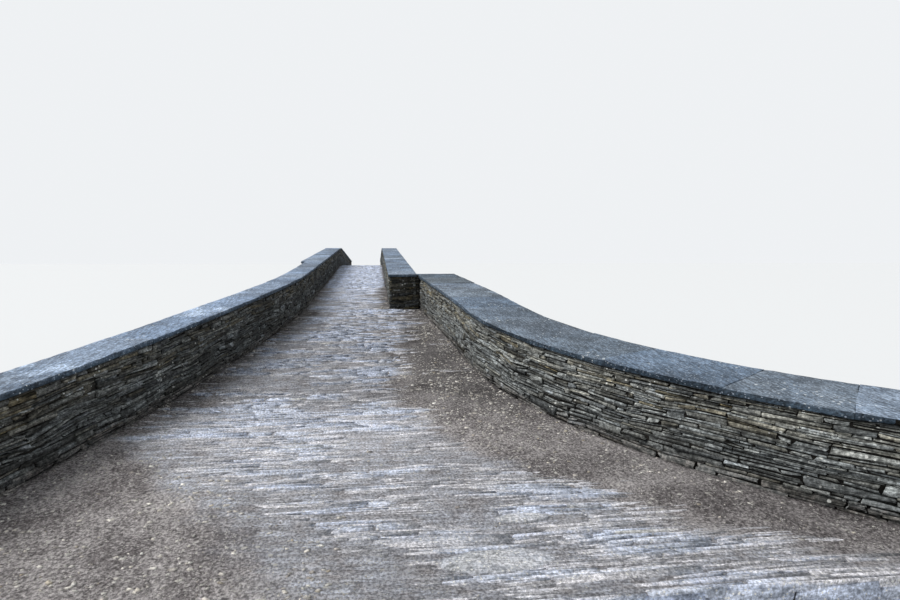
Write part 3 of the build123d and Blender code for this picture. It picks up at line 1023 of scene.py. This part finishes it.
def build_walls():
    """Both long walls, both stepped walls with their wing walls, the spandrels and all copings.

    Each side is worked out with its long wall near, and the right one is turned by the signs."""
    # The left road face's low tone, 0.22 against 0.55 on the right, is partly the stones' own damp, mossy
    # darkness and partly painted shade on a face turned away from the lamp.
    for side, near, far, x_sign, seed, tone in (
        ("left", "near", "far", 1, 100, 0.22), ("right", "far", "near", -1, 200, 0.55)
    ):
        over_arches = Wall(long_line, x_sign, -x_sign, parapet_thickness, parapet_height)
        past_arches = Wall(long_line, x_sign, -x_sign, long_wall_thickness, parapet_height)
        stepped = Wall(butt_line, -x_sign, -x_sign, parapet_thickness, parapet_height)
        wing = Wall(wing_line, -x_sign, -x_sign, wing_thickness, wing_height)
        crest_s = -x_sign * crest_x
        step_s = crest_s + arch_zone_half
        end = long_line.length
        parapet(
            f"{near}_{side}_parapet", [(over_arches, crest_s, step_s), (past_arches, step_s, end)],
            seed + 1, tone,
        )
        # end_tone 0.0 darkens the stepped wall's butt end, which faces away from the lamp, as painted shade.
        parapet(
            f"{far}_{side}_parapet", [(stepped, -crest_s, butt_x)], seed + 20, 0.5, end_tone=0.0,
            end_reach=wedge_width,
        )
        parapet(f"{far}_{side}_wing_parapet", [(wing, 0, wing_line.length)], seed + 30, 0.58, wing=True)
        split = step_s + coping_overhang
        coping(
            f"{near}_{side}_coping", [(over_arches, crest_s, split), (past_arches, split, end)],
            seed + 40, 0.85, 0.3,
        )
        coping(f"{far}_{side}_coping", [(stepped, -crest_s, butt_x + coping_overhang)], seed + 41, 0.55, 0.35)
        coping(
            f"{far}_{side}_wing_coping", [(wing, -coping_overhang, wing_line.length)], seed + 42, 0.22, 0.10,
            wing=True,
        )
        spandrels(side, over_arches, seed + 50)
        ramp_side(f"{near}_{side}_ramp_wall", past_arches, step_s, end, seed + 54, ends=("end",))
        ramp_side(f"{far}_{side}_ramp_wall", stepped, arch_zone_half - crest_s, butt_x, seed + 57)
        ramp_side(
            f"{far}_{side}_wing_wall", wing, 0, wing_line.length, seed + 60, ends=("start", "end"),
            inner=wedge,
        )


# Arches, piers and cutwaters

def arch_place(x, radius, face, side=1):
    """Function that puts stones on an arch: its face, seen from the side, or its soffit, seen from below.

    Lengths round the arch are angles times a radius, counted from the far springing."""
    def place(u, v, d):
        if face == "face":
            angle, reach, y = u / radius, v, side * (ring_face + d)
        else:
            angle, reach, y = v / radius, radius - d, u
        return np.stack([x + reach * np.cos(angle), y + 0 * reach, springing + reach * np.sin(angle)], -1)
    return place


def leaf_cuts(a, b, radius, rng):
    """Lengths round an arch that bound the leaves of one wedge stone: whole, or split in two or three."""
    leaves = rng.choice((1, 2, 3), p=(0.25, 0.45, 0.30))
    if leaves == 1:
        return divide(a * radius, b * radius, 0.6, 1.4, rng)
    shares = rng.uniform(0.25, 0.75, 1) if leaves == 2 else rng.uniform((0.25, 0.6), (0.4, 0.75))
    return np.concatenate([[a], a + (b - a) * shares, [b]]) * radius


def rectangle(left, right, low, high):
    """Corners of an upright stone."""
    return [(left, low), (right, low), (right, high), (left, high)]


def arch_ring(name, x, span, depth, seed):
    """One vault: wedge stones on both faces, some split into leaves, and coursed slates between them."""
    rng = np.random.default_rng(seed)
    count = 2 * round((pi * span / 2 / voussoir_width - 1) / 2) + 1
    inner, outer = span / 2, span / 2 + depth
    middle = inner + depth / 2
    joints = np.linspace(0, pi, count + 1)
    face_kind = dict(
        grid=(3, 3), bevel=0.010, gap=0.007, ragged=(0.3, 0.4), loose=0.02, front=(-0.018, 0.0), tilt=0.010,
        rough=0.003,
    )
    soffit_kind = dict(face_kind, grid=(3, 2), front=(-0.012, 0.004), tilt=0.008)
    face_depth = 0.34
    overlap = 0.01
    back_inset = 0.006
    split_chance = 0.22
    short_chance = 0.4
    single_course_chance = 0.35
    parts = []
    for side in (1, -1):
        quads = []
        for a, b in zip(joints, joints[1:]):
            cuts = leaf_cuts(a, b, middle, rng)
            for left, right in zip(cuts, cuts[1:]):
                if rng.random() < split_chance:
                    split = inner + depth * rng.uniform(0.4, 0.65)
                    quads.append(rectangle(left, right, inner, split))
                    quads.append(rectangle(left, right, split, outer))
                else:
                    short = rng.uniform(0, 0.02) if rng.random() < short_chance else 0
                    quads.append(rectangle(left, right, inner, outer - short))
        quads = np.array(quads)
        tints = stone_tints(len(quads), rng, tone=0.5, ochre=0.08)
        place = arch_place(x, middle, "face", side)
        parts.append(stones(quads, face_kind, place, tints, rng, back=face_depth))
    quads = []
    half = ring_face - face_depth + overlap
    for a, b in zip(joints, joints[1:]):
        rows = 1 if rng.random() < single_course_chance else 2
        levels = np.linspace(a, b, rows + 1) * inner
        for low, high in zip(levels, levels[1:]):
            cuts = divide(-half, half, 0.22, 0.55, rng)
            quads += [rectangle(left, right, low, high) for left, right in zip(cuts, cuts[1:])]
    quads = np.array(quads)
    tints = stone_tints(len(quads), rng, tone=0.36, ochre=0.05)
    parts.append(stones(quads, soffit_kind, arch_place(x, inner, "soffit"), tints, rng))
    angles = np.linspace(0, pi, count * 2 + 1)
    section = rectangle(-wall_outer, wall_outer, inner + core_inset, outer - back_inset)
    parts.append(closed_tube(np.stack([
        np.stack([x + reach * np.cos(angles), y + 0 * angles, springing + reach * np.sin(angles)], -1)
        for y, reach in section
    ], 1)))
    stone_piece(name, parts, "dressed_slate")


def flat_place(origin, along, up, out):
    """Function that puts (along, up, out) on a flat face through origin."""
    origin, along, up, out = (np.array(v, float) for v in (origin, along, up, out))

    def place(u, v, d):
        return origin + u[..., None] * along + v[..., None] * up + d[..., None] * out
    return place


def flat_face(
    origin, along, out, length, height, kind, seed, up=(0, 0, 1), tone=0.45, back=stone_back, sides=None
):
    """Coursed stones on a flat rectangle, or on what lies between two side lines of it."""
    start, end = (0, length) if sides is None else (min(0, sides[0](height)), max(length, sides[1](height)))
    quads, rng = lay_slates(start, end, 0, height, kind, seed)
    if sides:
        quads = clip_levels(clip_ends(quads, *sides), bed, lambda u: height + 0 * u)
    tints = stone_tints(len(quads), rng, tone=tone, ochre=0.05)
    tints = damp_foot(tints, quads[:, 0, 1] * up[2] + origin[2])
    return stones(quads, kind, flat_place(origin, along, up, out), tints, rng, back=back)


def box_core(x0, x1, y0, y1, z0, z1):
    """Plain dark heart between two corners."""
    ring = np.array([(x0, y0, z0), (x0, y1, z0), (x0, y1, z1), (x0, y0, z1)], float)
    return closed_tube(np.stack([ring, ring + (x1 - x0, 0, 0)]))


def pier(node, x, seed):
    """Pier between two arches: stones on the faces under the vaults."""
    half = pier_thickness / 2
    parts = [box_core(x - half + core_inset, x + half - core_inset, -wall_outer, wall_outer, 0, springing)]
    for sign in (1, -1):
        parts.append(flat_face(
            (x + sign * half, -wall_outer, 0), (0, 1, 0), (sign, 0, 0), 2 * wall_outer, springing,
            dressed_slates, seed + sign, tone=0.35,
        ))
    stone_piece(node, parts, "dressed_slate")


def abutment(node, outer_x, sign, seed):
    """Abutment: stones on the face under the vault, on both sides, and where it stands out past a ramp."""
    inner_x = outer_x - sign * abutment_length
    x0, x1 = sorted((inner_x, outer_x))
    side = ring_face - core_inset
    parts = [box_core(x0 + core_inset, x1 - core_inset, -side, side, 0, springing)]
    parts.append(flat_face(
        (inner_x, -ring_face, 0), (0, 1, 0), (-sign, 0, 0), 2 * ring_face, springing, dressed_slates, seed,
        tone=0.35,
    ))
    for y_sign in (1, -1):
        parts.append(flat_face(
            (x0, y_sign * ring_face, 0), (1, 0, 0), (0, y_sign, 0), abutment_length, springing,
            dressed_slates, seed + 2 + y_sign,
        ))
        past = ring_face - road_half - (long_wall_thickness if y_sign == -sign else parapet_thickness)
        parts.append(flat_face(
            (outer_x, y_sign * (ring_face - past), 0), (0, y_sign, 0), (sign, 0, 0), past, springing,
            dressed_slates, seed + 6 + y_sign,
        ))
    stone_piece(node, parts, "dressed_slate")


def cutwater_heart(x, side):
    """Dark heart of a cutwater: a pointed prism under a three-sided cap."""
    half = pier_thickness / 2 - core_inset
    nose = wall_outer + cutwater_projection - 2 * core_inset
    base = cutwater_height + cutwater_cap_edge - core_inset
    plan = [(x - half, wall_outer), (x, nose), (x + half, wall_outer)]
    points = [(px, side * py, z) for z in (0, base) for px, py in plan]
    points.append((x, side * wall_outer, base + cutwater_cap_rise - core_inset))
    faces = [[2, 1, 0], [0, 1, 4, 3], [1, 2, 5, 4], [2, 0, 3, 6, 5], [3, 4, 6], [4, 5, 6]]
    if side > 0:
        faces = [face[::-1] for face in faces]
    return dict(
        points=np.array(points, float), loops=np.concatenate(faces), sizes=np.array([len(f) for f in faces]),
        tints=np.zeros((7, 4)), material=1,
    )


def cutwater(node, x, side, seed):
    """Pointed cutwater: coursed stones on two faces, an overhanging edge course, and slabs up the cap.

    Each slope of the cap runs from the edge's foot and nose up to the peak, cut along two lines."""
    parts = [cutwater_heart(x, side)]
    edge_back = 0.08
    cap_kind = dict(dressed_slates, thickness=0.17, length=(0.25, 0.6), thick=(0, 0))
    edge_kind = dict(cap_kind, thickness=cutwater_cap_edge)
    for sign in (-1, 1):
        for margin, z0, height, kind in (
            (0, 0, cutwater_height, rough_slates),
            (cutwater_cap_overhang, cutwater_height, cutwater_cap_edge, edge_kind),
        ):
            foot = np.array([x + sign * (pier_thickness / 2 + margin), side * wall_outer, z0])
            nose = np.array([x, side * (wall_outer + cutwater_projection + margin), z0])
            length = np.linalg.norm(nose - foot)
            along = (nose - foot) / length
            out = np.array([sign * abs(along[1]), side * abs(along[0]), 0])
            parts.append(flat_face(
                foot, along, out, length, height, kind, seed + sign, back=edge_back if margin else stone_back
            ))
        peak = np.array([x, side * wall_outer, cutwater_height + cutwater_cap_edge + cutwater_cap_rise])
        foot = foot + (0, 0, cutwater_cap_edge)
        rise = peak - foot
        reach = float(rise @ along)
        up = rise - reach * along
        slope = float(np.linalg.norm(up))
        up = up / slope
        out = np.cross(along, up)
        out = out * np.sign(out[2])
        sides = (lambda v: reach * v / slope), (lambda v: length + (reach - length) * v / slope)
        parts.append(flat_face(
            foot, along, out, length, slope, cap_kind, seed + 3 + sign, up=up, sides=sides, tone=0.6
        ))
    stone_piece(node, parts, "dressed_slate")


def build_arches():
    """Vaults, piers, abutments and cutwaters."""
    for i, (name, (x, span, depth)) in enumerate(arches.items()):
        arch_ring(f"{name}_arch_ring", x, span, depth, 300 + i)
    for i, (name, sign) in enumerate((("near", -1), ("far", 1))):
        x = crest_x + sign * pier_offset
        pier(f"{name}_pier", x, 310 + i)
        abutment(f"{name}_abutment", crest_x + sign * arch_zone_half, sign, 320 + i)
        cutwater(f"{name}_left_cutwater", x, 1, 330 + i)
        cutwater(f"{name}_right_cutwater", x, -1, 340 + i)


# Road

plan_samples = 800
long_plan, wing_plan = (
    line.at(np.linspace(0, line.length, plan_samples), 0) for line in (long_line, wing_line)
)


def road_edges(x):
    """Lowest and highest y of the near ramp's road at each x, between the wing and the long wall.

    Both are read off by x from the walls' sampled lines; past the butt end the wing wall takes over."""
    x = np.asarray(x)
    (long_x, long_y), (wing_x, wing_y) = long_plan, wing_plan
    left = np.interp(-x, -long_x, -long_y)
    right = np.where(x > -butt_x, -road_half, np.interp(-x, -wing_x, wing_y))
    return right, left


def knobbly(x):
    """Share of the ramp's rough middle stretch at each x, where the slates stand up unevenly."""
    return ease(-x, 9.0, 12.5) * (1 - ease(-x, 16.6, 17.6))


def ripple(x, y, seed):
    """Worn relief of the paving: short ripples along the road, long across it, on a slow undulation."""
    steep = 0.008 * (1 + 0.6 * knobbly(x))
    return steep * noise(x, 0.16 * y, 0.075, seed) + 0.003 * noise(x, y, 0.6, seed + 1) - 0.006


def foot_shade(x, y):
    """Share of the dark strips at the long wall's foot, and at the stepped wall's past the butt end."""
    right, left = road_edges(x)
    at_long_wall = (1 - ease(left - y, 0.02, 0.34)) * (1 - ease(-x, 17.0, 19.0))
    at_stepped_wall = ease(x, -butt_x, -butt_x + 1) * (1 - ease(y - right, 0.02, 0.24))
    return np.maximum(at_long_wall, at_stepped_wall)


def earth_rise(x, y, seed):
    """Height of the trodden earth over the paving's level on a ramp.

    It covers the slates in a band along the wing wall and in the long wall's corner of the mouth, with
    ragged edges, and elsewhere it fills the ripples' troughs."""
    right, left = road_edges(x)
    left_width = 0.02 + 1.1 * ease(-x, butt_x + 6.3, butt_x + 7.6) + 1.5 * ease(-x, butt_x + 7.1, mouth_x)
    right_width = 0.02 + 0.30 * ease(-x, butt_x - 0.1, butt_x + 0.8)
    right_width = right_width + 0.70 * ease(-x, butt_x + 2, butt_x + 6.5)
    right_width = right_width - 0.45 * ease(-x, mouth_x - 1.5, mouth_x)
    fringe = 0.40
    patch = 0.34 * noise(x, 0.6 * y, 0.7, seed) + 0.34 * noise(x, 0.5 * y, 0.17, seed + 1)
    from_left = (left_width - (left - y)) / fringe + patch
    from_right = (right_width - (y - right)) / fringe + patch
    covered = np.maximum(ease(from_left, -0.7, 0.7), ease(from_right, -0.7, 0.7))
    trough = -0.014 + 0.003 * ease(-x, 16.8, 17.6)
    settled = 0.005 * noise(x, y, 0.5, seed + 2) + 0.003 * noise(x, y, 0.16, seed + 4)
    grain = 0.003 * noise(x, y, 0.05, seed + 3)
    return (1 - covered) * (trough + settled) + 0.004 * covered + grain


paving_kind = dict(
    thickness=0.021, length=(0.12, 0.95), thick=(0.06, 0.010), swell=0.6, swell_length=0.40,
    grid=(2, 2), bevel=0.003, gap=0.001, ragged=(1.2, 0.26), loose=0.18, front=(-0.006, 0.002), tilt=0.004,
    rough=0.0016,
)
knobbly_kind = dict(
    paving_kind, thickness=0.027, length=(0.07, 0.42), thick=(0.14, 0.03), ragged=(1.3, 0.30), gap=0.004,
    front=(-0.012, 0.004), tilt=0.013, rough=0.004,
)
crest_kind = dict(paving_kind, thickness=0.040, length=(0.08, 0.40), ragged=(0.8, 0.26), rough=0.003)


def paving_rows(x0, x1, limits, kind, seed, buried=None):
    """Slates set on edge across the road, laid in bands that wander, without those under the earth."""
    rng = np.random.default_rng(seed)
    band_widths = (0.25, 0.55)
    under_walls = 0.012
    shortest_slate = 0.04
    bands = []
    levels = divide(x0, x1, *band_widths, rng)
    for i, (low, high) in enumerate(zip(levels, levels[1:])):
        right, left = limits(np.linspace(low, high, 5))
        laid = knobbly_kind if knobbly((low + high) / 2) > 0.5 else kind
        bands.append(lay_slates(right.min(), left.max(), low, high, laid, seed + 7 * i)[0])
    quads = np.concatenate(bands)
    y, x = quads[..., 0], quads[..., 1]
    edge = np.minimum(ease(x, x0, x0 + 0.2), 1 - ease(x, x1 - 0.2, x1))
    x = x + edge * (0.035 * noise(x, y, 1.1, seed + 4) + 0.016 * noise(x, y, 0.34, seed + 5))
    right, left = limits(x.ravel())
    y = np.clip(y, right.reshape(x.shape) - under_walls, left.reshape(x.shape) + under_walls)
    quads = np.stack([y, x], -1)
    quads = quads[y.max(1) - y.min(1) > shortest_slate]
    if buried is not None:
        middle = quads.mean(1, keepdims=True)
        ends = middle + (quads - middle) * 0.8
        spots = np.concatenate([middle, ends], 1)
        quads = quads[~buried(spots[..., 1], spots[..., 0]).all(1)]
    return quads, rng


def paving_parts(quads, kind, rng, seed, dust):
    """Slates of the road, even or knobbly; each point has its own dust.

    Their tone follows stretches along the road, darker in a stretch partway up as painted shade, with fine
    bands across it that are painted shadows of raised slates, and it is darker at the walls' feet and beside
    the wing wall as painted shade; pale, bluish slates are more frequent towards the crest, partly as
    painted sky reflection."""
    def place(u, v, d):
        """Across the road, along it, and up from its rippled level."""
        return np.stack([v, u, deck(v) + d + ripple(v, u, seed)], -1)

    middle_y, middle_x = quads.mean(1).T
    rough = knobbly(middle_x)
    tints = stone_tints(len(quads), rng, ochre=0.03, pale=0.05)
    # Tones by stations along the road; the dark stretch from about x = -16.4 to -12.5 is painted shade.
    stations = (-19.2, -17.9, -17.2, -16.4, -15.0, -12.5, -9.0, -6.0)
    station_tones_and_shade = (0.64, 0.90, 0.90, 0.36, 0.26, 0.38, 0.80, 1.0)
    own = rng.normal(0, 1, len(quads)) * (0.13 + 0.05 * rough)
    # The fine bands across the road are painted shadows of raised slates.
    bands = 0.16 * (1 - rough) * noise(middle_x, 0.12 * middle_y, 0.11, seed + 5)
    tone = np.interp(middle_x, stations, station_tones_and_shade) + own + bands
    # Painted shade at the walls' feet and beside the wing wall.
    shade_beside_wing = (1 - ease(middle_y - road_edges(middle_x)[0], 0.5, 1.7)) * ease(-middle_x, 16, 18)
    shade = (1 - 0.55 * foot_shade(middle_x, middle_y)) * (1 - 0.35 * shade_beside_wing)
    tints[:, 0] = np.clip(tone * shade, 0, 1)
    # Paler, bluish slates towards the crest: partly the slates' own colour and partly painted sky reflection.
    paler = 0.35 * ease(middle_x, -15, -13)
    tints[:, 2] = np.clip(tints[:, 2] + paler + 0.6 * ease(middle_x, -11, -7), 0, 1)
    parts = []
    for chosen, laid in ((rough <= 0.5, kind), (rough > 0.5, knobbly_kind)):
        if chosen.any():
            part = stones(quads[chosen], laid, place, tints[chosen], rng)
            part["tints"][:, 3] = dust(*part["points"][:, :2].T)
            parts.append(part)
    return parts


def earth_slab(x, right, left, columns, rise):
    """Closed bed of earth under and over the slates: a fine top surface, plain sides and bottom.

    The top's points lie on a grid, evenly between the road's edges at each x."""
    rows = len(x)
    t = np.linspace(0, 1, columns)
    grid_x = np.repeat(x[:, None], columns, 1)
    grid_y = right[:, None] + (left - right)[:, None] * t[None, :]
    z = deck(grid_x) + rise(grid_x, grid_y)
    top = np.stack([grid_x, grid_y, z], -1).reshape(-1, 3)
    bottom = np.stack([
        np.repeat(x[:, None], 2, 1), np.stack([right, left], 1), np.repeat(under_paving(x)[:, None], 2, 1)
    ], -1).reshape(-1, 3)
    index = np.arange(rows * columns).reshape(rows, columns)
    under = rows * columns + np.arange(rows * 2).reshape(rows, 2)
    quads = [
        np.stack([index[:-1, :-1], index[1:, :-1], index[1:, 1:], index[:-1, 1:]], -1).reshape(-1, 4),
        np.stack([index[1:, 0], index[:-1, 0], under[:-1, 0], under[1:, 0]], -1),
        np.stack([index[:-1, -1], index[1:, -1], under[1:, 1], under[:-1, 1]], -1),
        np.stack([under[:-1, 0], under[:-1, 1], under[1:, 1], under[1:, 0]], -1),
    ]
    ends = [[*index[0, :], under[0, 1], under[0, 0]], [*index[-1, ::-1], under[-1, 0], under[-1, 1]]]
    loops = np.concatenate([*(q.ravel() for q in quads), *ends])
    sizes = np.array([4] * sum(len(q) for q in quads) + [columns + 2] * 2)
    points = np.concatenate([top, bottom])
    tints = np.full((len(points), 4), 0.5)
    return dict(points=points, loops=loops, sizes=sizes, tints=tints, material=1)


def earth_tints(x, y):
    """Tone and slate share of the earth at each point.

    It is darker along the wing wall and at the walls' feet, partly damp and partly painted shade, and darker
    in the rough middle stretch as painted shade; it is paler in the long wall's corner of the mouth, partly
    from debris and partly as painted light, and in a band before the mouth; the slates show through it in
    the middle of the road."""
    right, left = road_edges(x)
    shaded = (1 - ease(y - right, 0.1, 1.3)) * (1 - 0.6 * ease(-x, 16.0, 19.5))
    corner = ease(-x, 17.0, 19.0) * ease(y, -1.0, 0.6)
    band = ease(-x, 16.6, 17.4) * (1 - ease(-x, 17.9, 18.6))
    # Painted shade, with some damp, along the wing wall and at the walls' feet, and painted shade in the
    # rough middle stretch; the paler corner is partly painted light.
    tone = 0.5 - 0.42 * shaded - 0.18 * knobbly(x) + 0.14 * corner - 0.35 * foot_shade(x, y) + 0.22 * band
    wander = 0.25 * noise(x, y, 0.6, 61) + 0.15 * noise(x, y, 0.17, 62)
    right_start = 0.25 + 0.55 * ease(-x, butt_x, butt_x + 5) - 0.5 * ease(-x, mouth_x - 1.5, mouth_x)
    left_start = 0.05 + 1.6 * ease(-x, butt_x + 6.3, mouth_x)
    left_end = 0.4 + 1.9 * ease(-x, 17.5, mouth_x)
    from_right = ease(y - right + wander, right_start, 1.3)
    from_left = ease(left - y + wander, left_start, left_end)
    return np.stack([np.clip(tone, 0, 1), (from_right * from_left) ** 1.6], -1)


def loose_chips(count, x0, x1, seed, rise):
    """Flat broken chips that lie in drifts on the earth, where it covers the slates."""
    rng = np.random.default_rng(seed)
    x = rng.uniform(x0, x1, count)
    right, left = road_edges(x)
    y = right + (left - right) * rng.random(count)
    height = rise(x, y)
    drifts = noise(x, y, 0.30, seed) + 0.7 * noise(x, y, 0.9, seed + 1)
    drifts = drifts + 0.7 * ease(-x, 17.8, 19.2) * ease(y, -1.2, 0.0)
    on_earth = height > -0.008 + 0.008 * rng.random(count)
    in_drift = rng.random(count) < ease(drifts, -0.5, 0.9) + 0.16
    kept = on_earth & in_drift
    x, y = x[kept], y[kept]
    n = len(x)
    size = (0.006 + 0.030 * rng.random(n) ** 3)[:, None]
    angle = rng.uniform(-0.7, 0.7, n)[:, None]
    shape = np.array([(-1, -0.6), (1, -0.6), (1, 0.6), (-1, 0.6)]) / 2 * rng.uniform(0.5, 1.3, (n, 4, 2))
    along, across = shape[..., 0] * size, shape[..., 1] * size
    quads = np.stack([
        y[:, None] + along * np.cos(angle) - across * np.sin(angle),
        x[:, None] + along * np.sin(angle) + across * np.cos(angle),
    ], -1)
    kind = dict(
        grid=(1, 1), bevel=0.0, gap=0.0, ragged=(0, 0), loose=0, front=(0.001, 0.006), tilt=0.005, rough=0.002
    )

    def place(u, v, d):
        return np.stack([v, u, deck(v) + rise(v, u) + d], -1)

    tints = stone_tints(n, rng, tone=0.5, spread=0.3, ochre=0.12, pale=0.3, damp=0.2)
    return stones(quads, kind, place, tints, rng, back=0.008, material=2)


def flat_stone(x, y, length, width, seed):
    """Worn flat stone in the paving: an uneven oval, domed, its rim sunk in the earth.

    Each ring of points is a share of the outline at its own level."""
    angle = np.linspace(0, 2 * pi, 28, endpoint=False)
    uneven = 1 + 0.10 * noise(3 * np.cos(angle), 3 * np.sin(angle), 1.3, seed)
    profile = ((0.92, -0.05), (1.0, -0.012), (0.96, 0.001), (0.75, 0.006), (0.4, 0.009), (0.05, 0.010))
    rings = []
    for share, level in profile:
        ring_x = x + share * uneven * width / 2 * np.sin(angle)
        ring_y = y + share * uneven * length / 2 * np.cos(angle)
        lift = 0.0015 * noise(ring_x, ring_y, 0.05, seed) * (level > -0.01)
        rings.append(np.stack([ring_x, ring_y, deck(ring_x) + level - 0.002 + lift], -1))
    part = closed_tube(np.array(rings), material=0)
    part["tints"][:] = (0.7, 0.45, 0.0, 0.35)
    return part


# Two flat stones on a ramp's mouth, each with its place, length and width, and the chips on the earth
flat_spots = (-19.59, -1.14, 0.63, 0.22), (-19.16, -1.36, 0.34, 0.10)
chip_count = 22000


def build_ramp(name, seed):
    """Paving of one ramp with its earth and chips, and the masonry below it at the mouth.

    The far half is worked out as a near one and turned."""
    half_turn = name == "far"
    abutment_x = -(crest_x + arch_zone_half) if half_turn else crest_x - arch_zone_half
    start_x = core_inset - mouth_x
    buried_depth = 0.006
    under_walls = 0.02
    slab_step, slab_columns = 0.06, 64
    core_step = 0.2
    edge_drop = 0.018

    def placed(part):
        """The part on its own half; what follows the road keeps its height over the road there."""
        if not half_turn:
            return part
        points = part["points"].copy()
        points[:, 2] += deck(-points[:, 0]) - deck(points[:, 0])
        return turned_part(dict(part, points=points))

    def rise(x, y):
        return earth_rise(x, y, seed)

    def cover(x, y):
        """Depth of the earth over the slates, below nothing where they stand out of it."""
        return rise(x, y) - ripple(x, y, seed + 10)

    def buried(x, y):
        return cover(x, y) > buried_depth

    def dust(x, y):
        """Share of dust on the slates: some everywhere, and nearly all where the earth covers them."""
        return 0.15 + 0.8 * ease(cover(x, y), -0.014, 0.003)

    quads, rng = paving_rows(-mouth_x + 0.01, abutment_x, road_edges, paving_kind, seed, buried)
    slates = paving_parts(quads, paving_kind, rng, seed + 10, dust)
    x = np.append(np.arange(start_x, abutment_x, slab_step), abutment_x)
    right, left = road_edges(x)
    slab = earth_slab(x, right - under_walls, left + under_walls, slab_columns, rise)
    slab["tints"][:, :2] = earth_tints(*slab["points"][:, :2].T)
    chips = loose_chips(chip_count, -mouth_x + 0.03, abutment_x - 2, seed + 20, rise)
    flats = [flat_stone(*spot, seed + 25) for spot in flat_spots]
    right, left = (float(edge[0]) for edge in road_edges(np.array([-mouth_x])))
    edge_low = float(deck(-mouth_x)) - paving_depth

    def mouth_face(z0, height, face_seed):
        return flat_face(
            (-mouth_x, right, z0), (0, 1, 0), (-1, 0, 0), left - right, height, rough_slates, face_seed
        )

    edge = mouth_face(edge_low, paving_depth - edge_drop, seed + 31)
    make_piece(
        f"{name}_ramp_paving_slates", [placed(part) for part in (*slates, slab, chips, *flats, edge)],
        [paving_slate, path_earth, chip_stone], [f"{name}_ramp_paving"],
    )
    x = np.append(np.arange(start_x, abutment_x, core_step), abutment_x)
    right_edge, left_edge = road_edges(x)
    top = under_paving(-x if half_turn else x)
    corners = (right_edge, 0 * x), (left_edge, 0 * x), (left_edge, top), (right_edge, top)
    core = closed_tube(np.stack([np.stack([x, y, z], -1) for y, z in corners], 1))
    shift = float(deck(mouth_x) - deck(-mouth_x)) if half_turn else 0.0
    front = mouth_face(0, edge_low + shift, seed + 30)
    if half_turn:
        core, front = turned_part(core), turned_part(front)
    make_piece(
        f"{name}_ramp_core_stones", [core, front], [wall_slate, rubble_core],
        [f"{name}_ramp_core"],
    )


def build_crest():
    """Paving over the arches, between the parapets, with earth along both walls."""
    x0, x1 = crest_x - arch_zone_half, crest_x + arch_zone_half
    seed = 420

    def rise(x, y):
        return -0.016 + 0.012 * ease(np.abs(y), 0.62, 0.78) + 0.004 * noise(x, y, 0.3, seed)

    def dust(x, y):
        return 0.35 * ease(rise(x, y) - ripple(x, y, seed + 10), -0.012, 0.006)

    quads, rng = paving_rows(x0, x1, lambda x: (0 * x - road_half, 0 * x + road_half), crest_kind, seed)
    slates = paving_parts(quads, crest_kind, rng, seed + 10, dust)
    x = np.append(np.arange(x0, x1, 0.10), x1)
    edge = np.full_like(x, road_half)
    slab = earth_slab(x, -edge, edge, 24, rise)
    make_piece(
        "crest_paving_slates", [*slates, slab], [paving_slate, path_earth], ["crest_paving"]
    )


# Studio

def build_studio():
    """Pale floor, pale background, one broad soft lamp from the upper left, and even light all round."""
    reach = 400
    mesh = bpy.data.meshes.new("studio_floor")
    corners = [(reach * x, reach * y, 0) for x, y in ((-1, -1), (1, -1), (1, 1), (-1, 1))]
    mesh.from_pydata(corners, [], [(0, 1, 2, 3)])
    floor = bpy.data.objects.new("studio_floor", mesh)
    bpy.context.scene.collection.objects.link(floor)
    material, graph, shader = new_material("studio_floor")
    graph.fill(shader.inputs, {"Base Color": (0.72, 0.73, 0.74, 1), "Roughness": 0.9})
    mesh.materials.append(material)
    world = bpy.data.worlds.new("studio_world")
    bpy.context.scene.world = world
    world.use_nodes = True
    graph = Graph(world.node_tree)
    graph.nodes.clear()
    light = graph.node("Background", {"Color": (0.93, 0.97, 1.0, 1), "Strength": 0.52})
    pale = graph.node("Background", {"Color": (0.86, 0.88, 0.90, 1)})
    path = graph.node("LightPath").outputs
    seen = graph.maths("MAXIMUM", path["Is Camera Ray"], path["Is Transmission Ray"])
    mixed = graph.node("MixShader", {0: seen, 1: light.outputs[0], 2: pale.outputs[0]})
    graph.node("OutputWorld", {"Surface": mixed.outputs[0]})
    lamp = bpy.data.lights.new("soft_lamp", "SUN")
    lamp.energy = 2.9
    lamp.angle = radians(40)
    lamp.color = (1.0, 0.985, 0.96)
    holder = bpy.data.objects.new("soft_lamp", lamp)
    bpy.context.scene.collection.objects.link(holder)
    towards = Vector((0.12, 0.75, 1.0)).normalized()
    holder.rotation_mode = "QUATERNION"
    holder.rotation_quaternion = towards.to_track_quat("Z", "Y")
    bpy.context.scene.view_settings.view_transform = "Standard"


def build_camera():
    """Camera at the photograph's viewpoint, beyond the near mouth and looking up the road."""
    camera = bpy.data.cameras.new("viewpoint")
    camera.sensor_width = 36
    camera.lens = 24.96
    camera.clip_start = 0.05
    camera.clip_end = 900
    holder = bpy.data.objects.new("viewpoint", camera)
    bpy.context.scene.collection.objects.link(holder)
    holder.location = (-22.65, -0.519, crest_level + 0.31)
    aside, down = radians(6.777), radians(3.949)
    forward = Vector((cos(down) * cos(aside), -cos(down) * sin(aside), -sin(down)))
    holder.rotation_mode = "QUATERNION"
    holder.rotation_quaternion = forward.to_track_quat("-Z", "Y")
    bpy.context.scene.camera = holder


build_camera()
build_studio()
build_walls()
build_arches()
build_ramp("near", 400)
build_ramp("far", 410)
build_crest()
for arch in arches:
    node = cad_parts[f"{arch}_arch_backing"]
    node.data.materials.clear()
    node.data.materials.append(rubble_core)
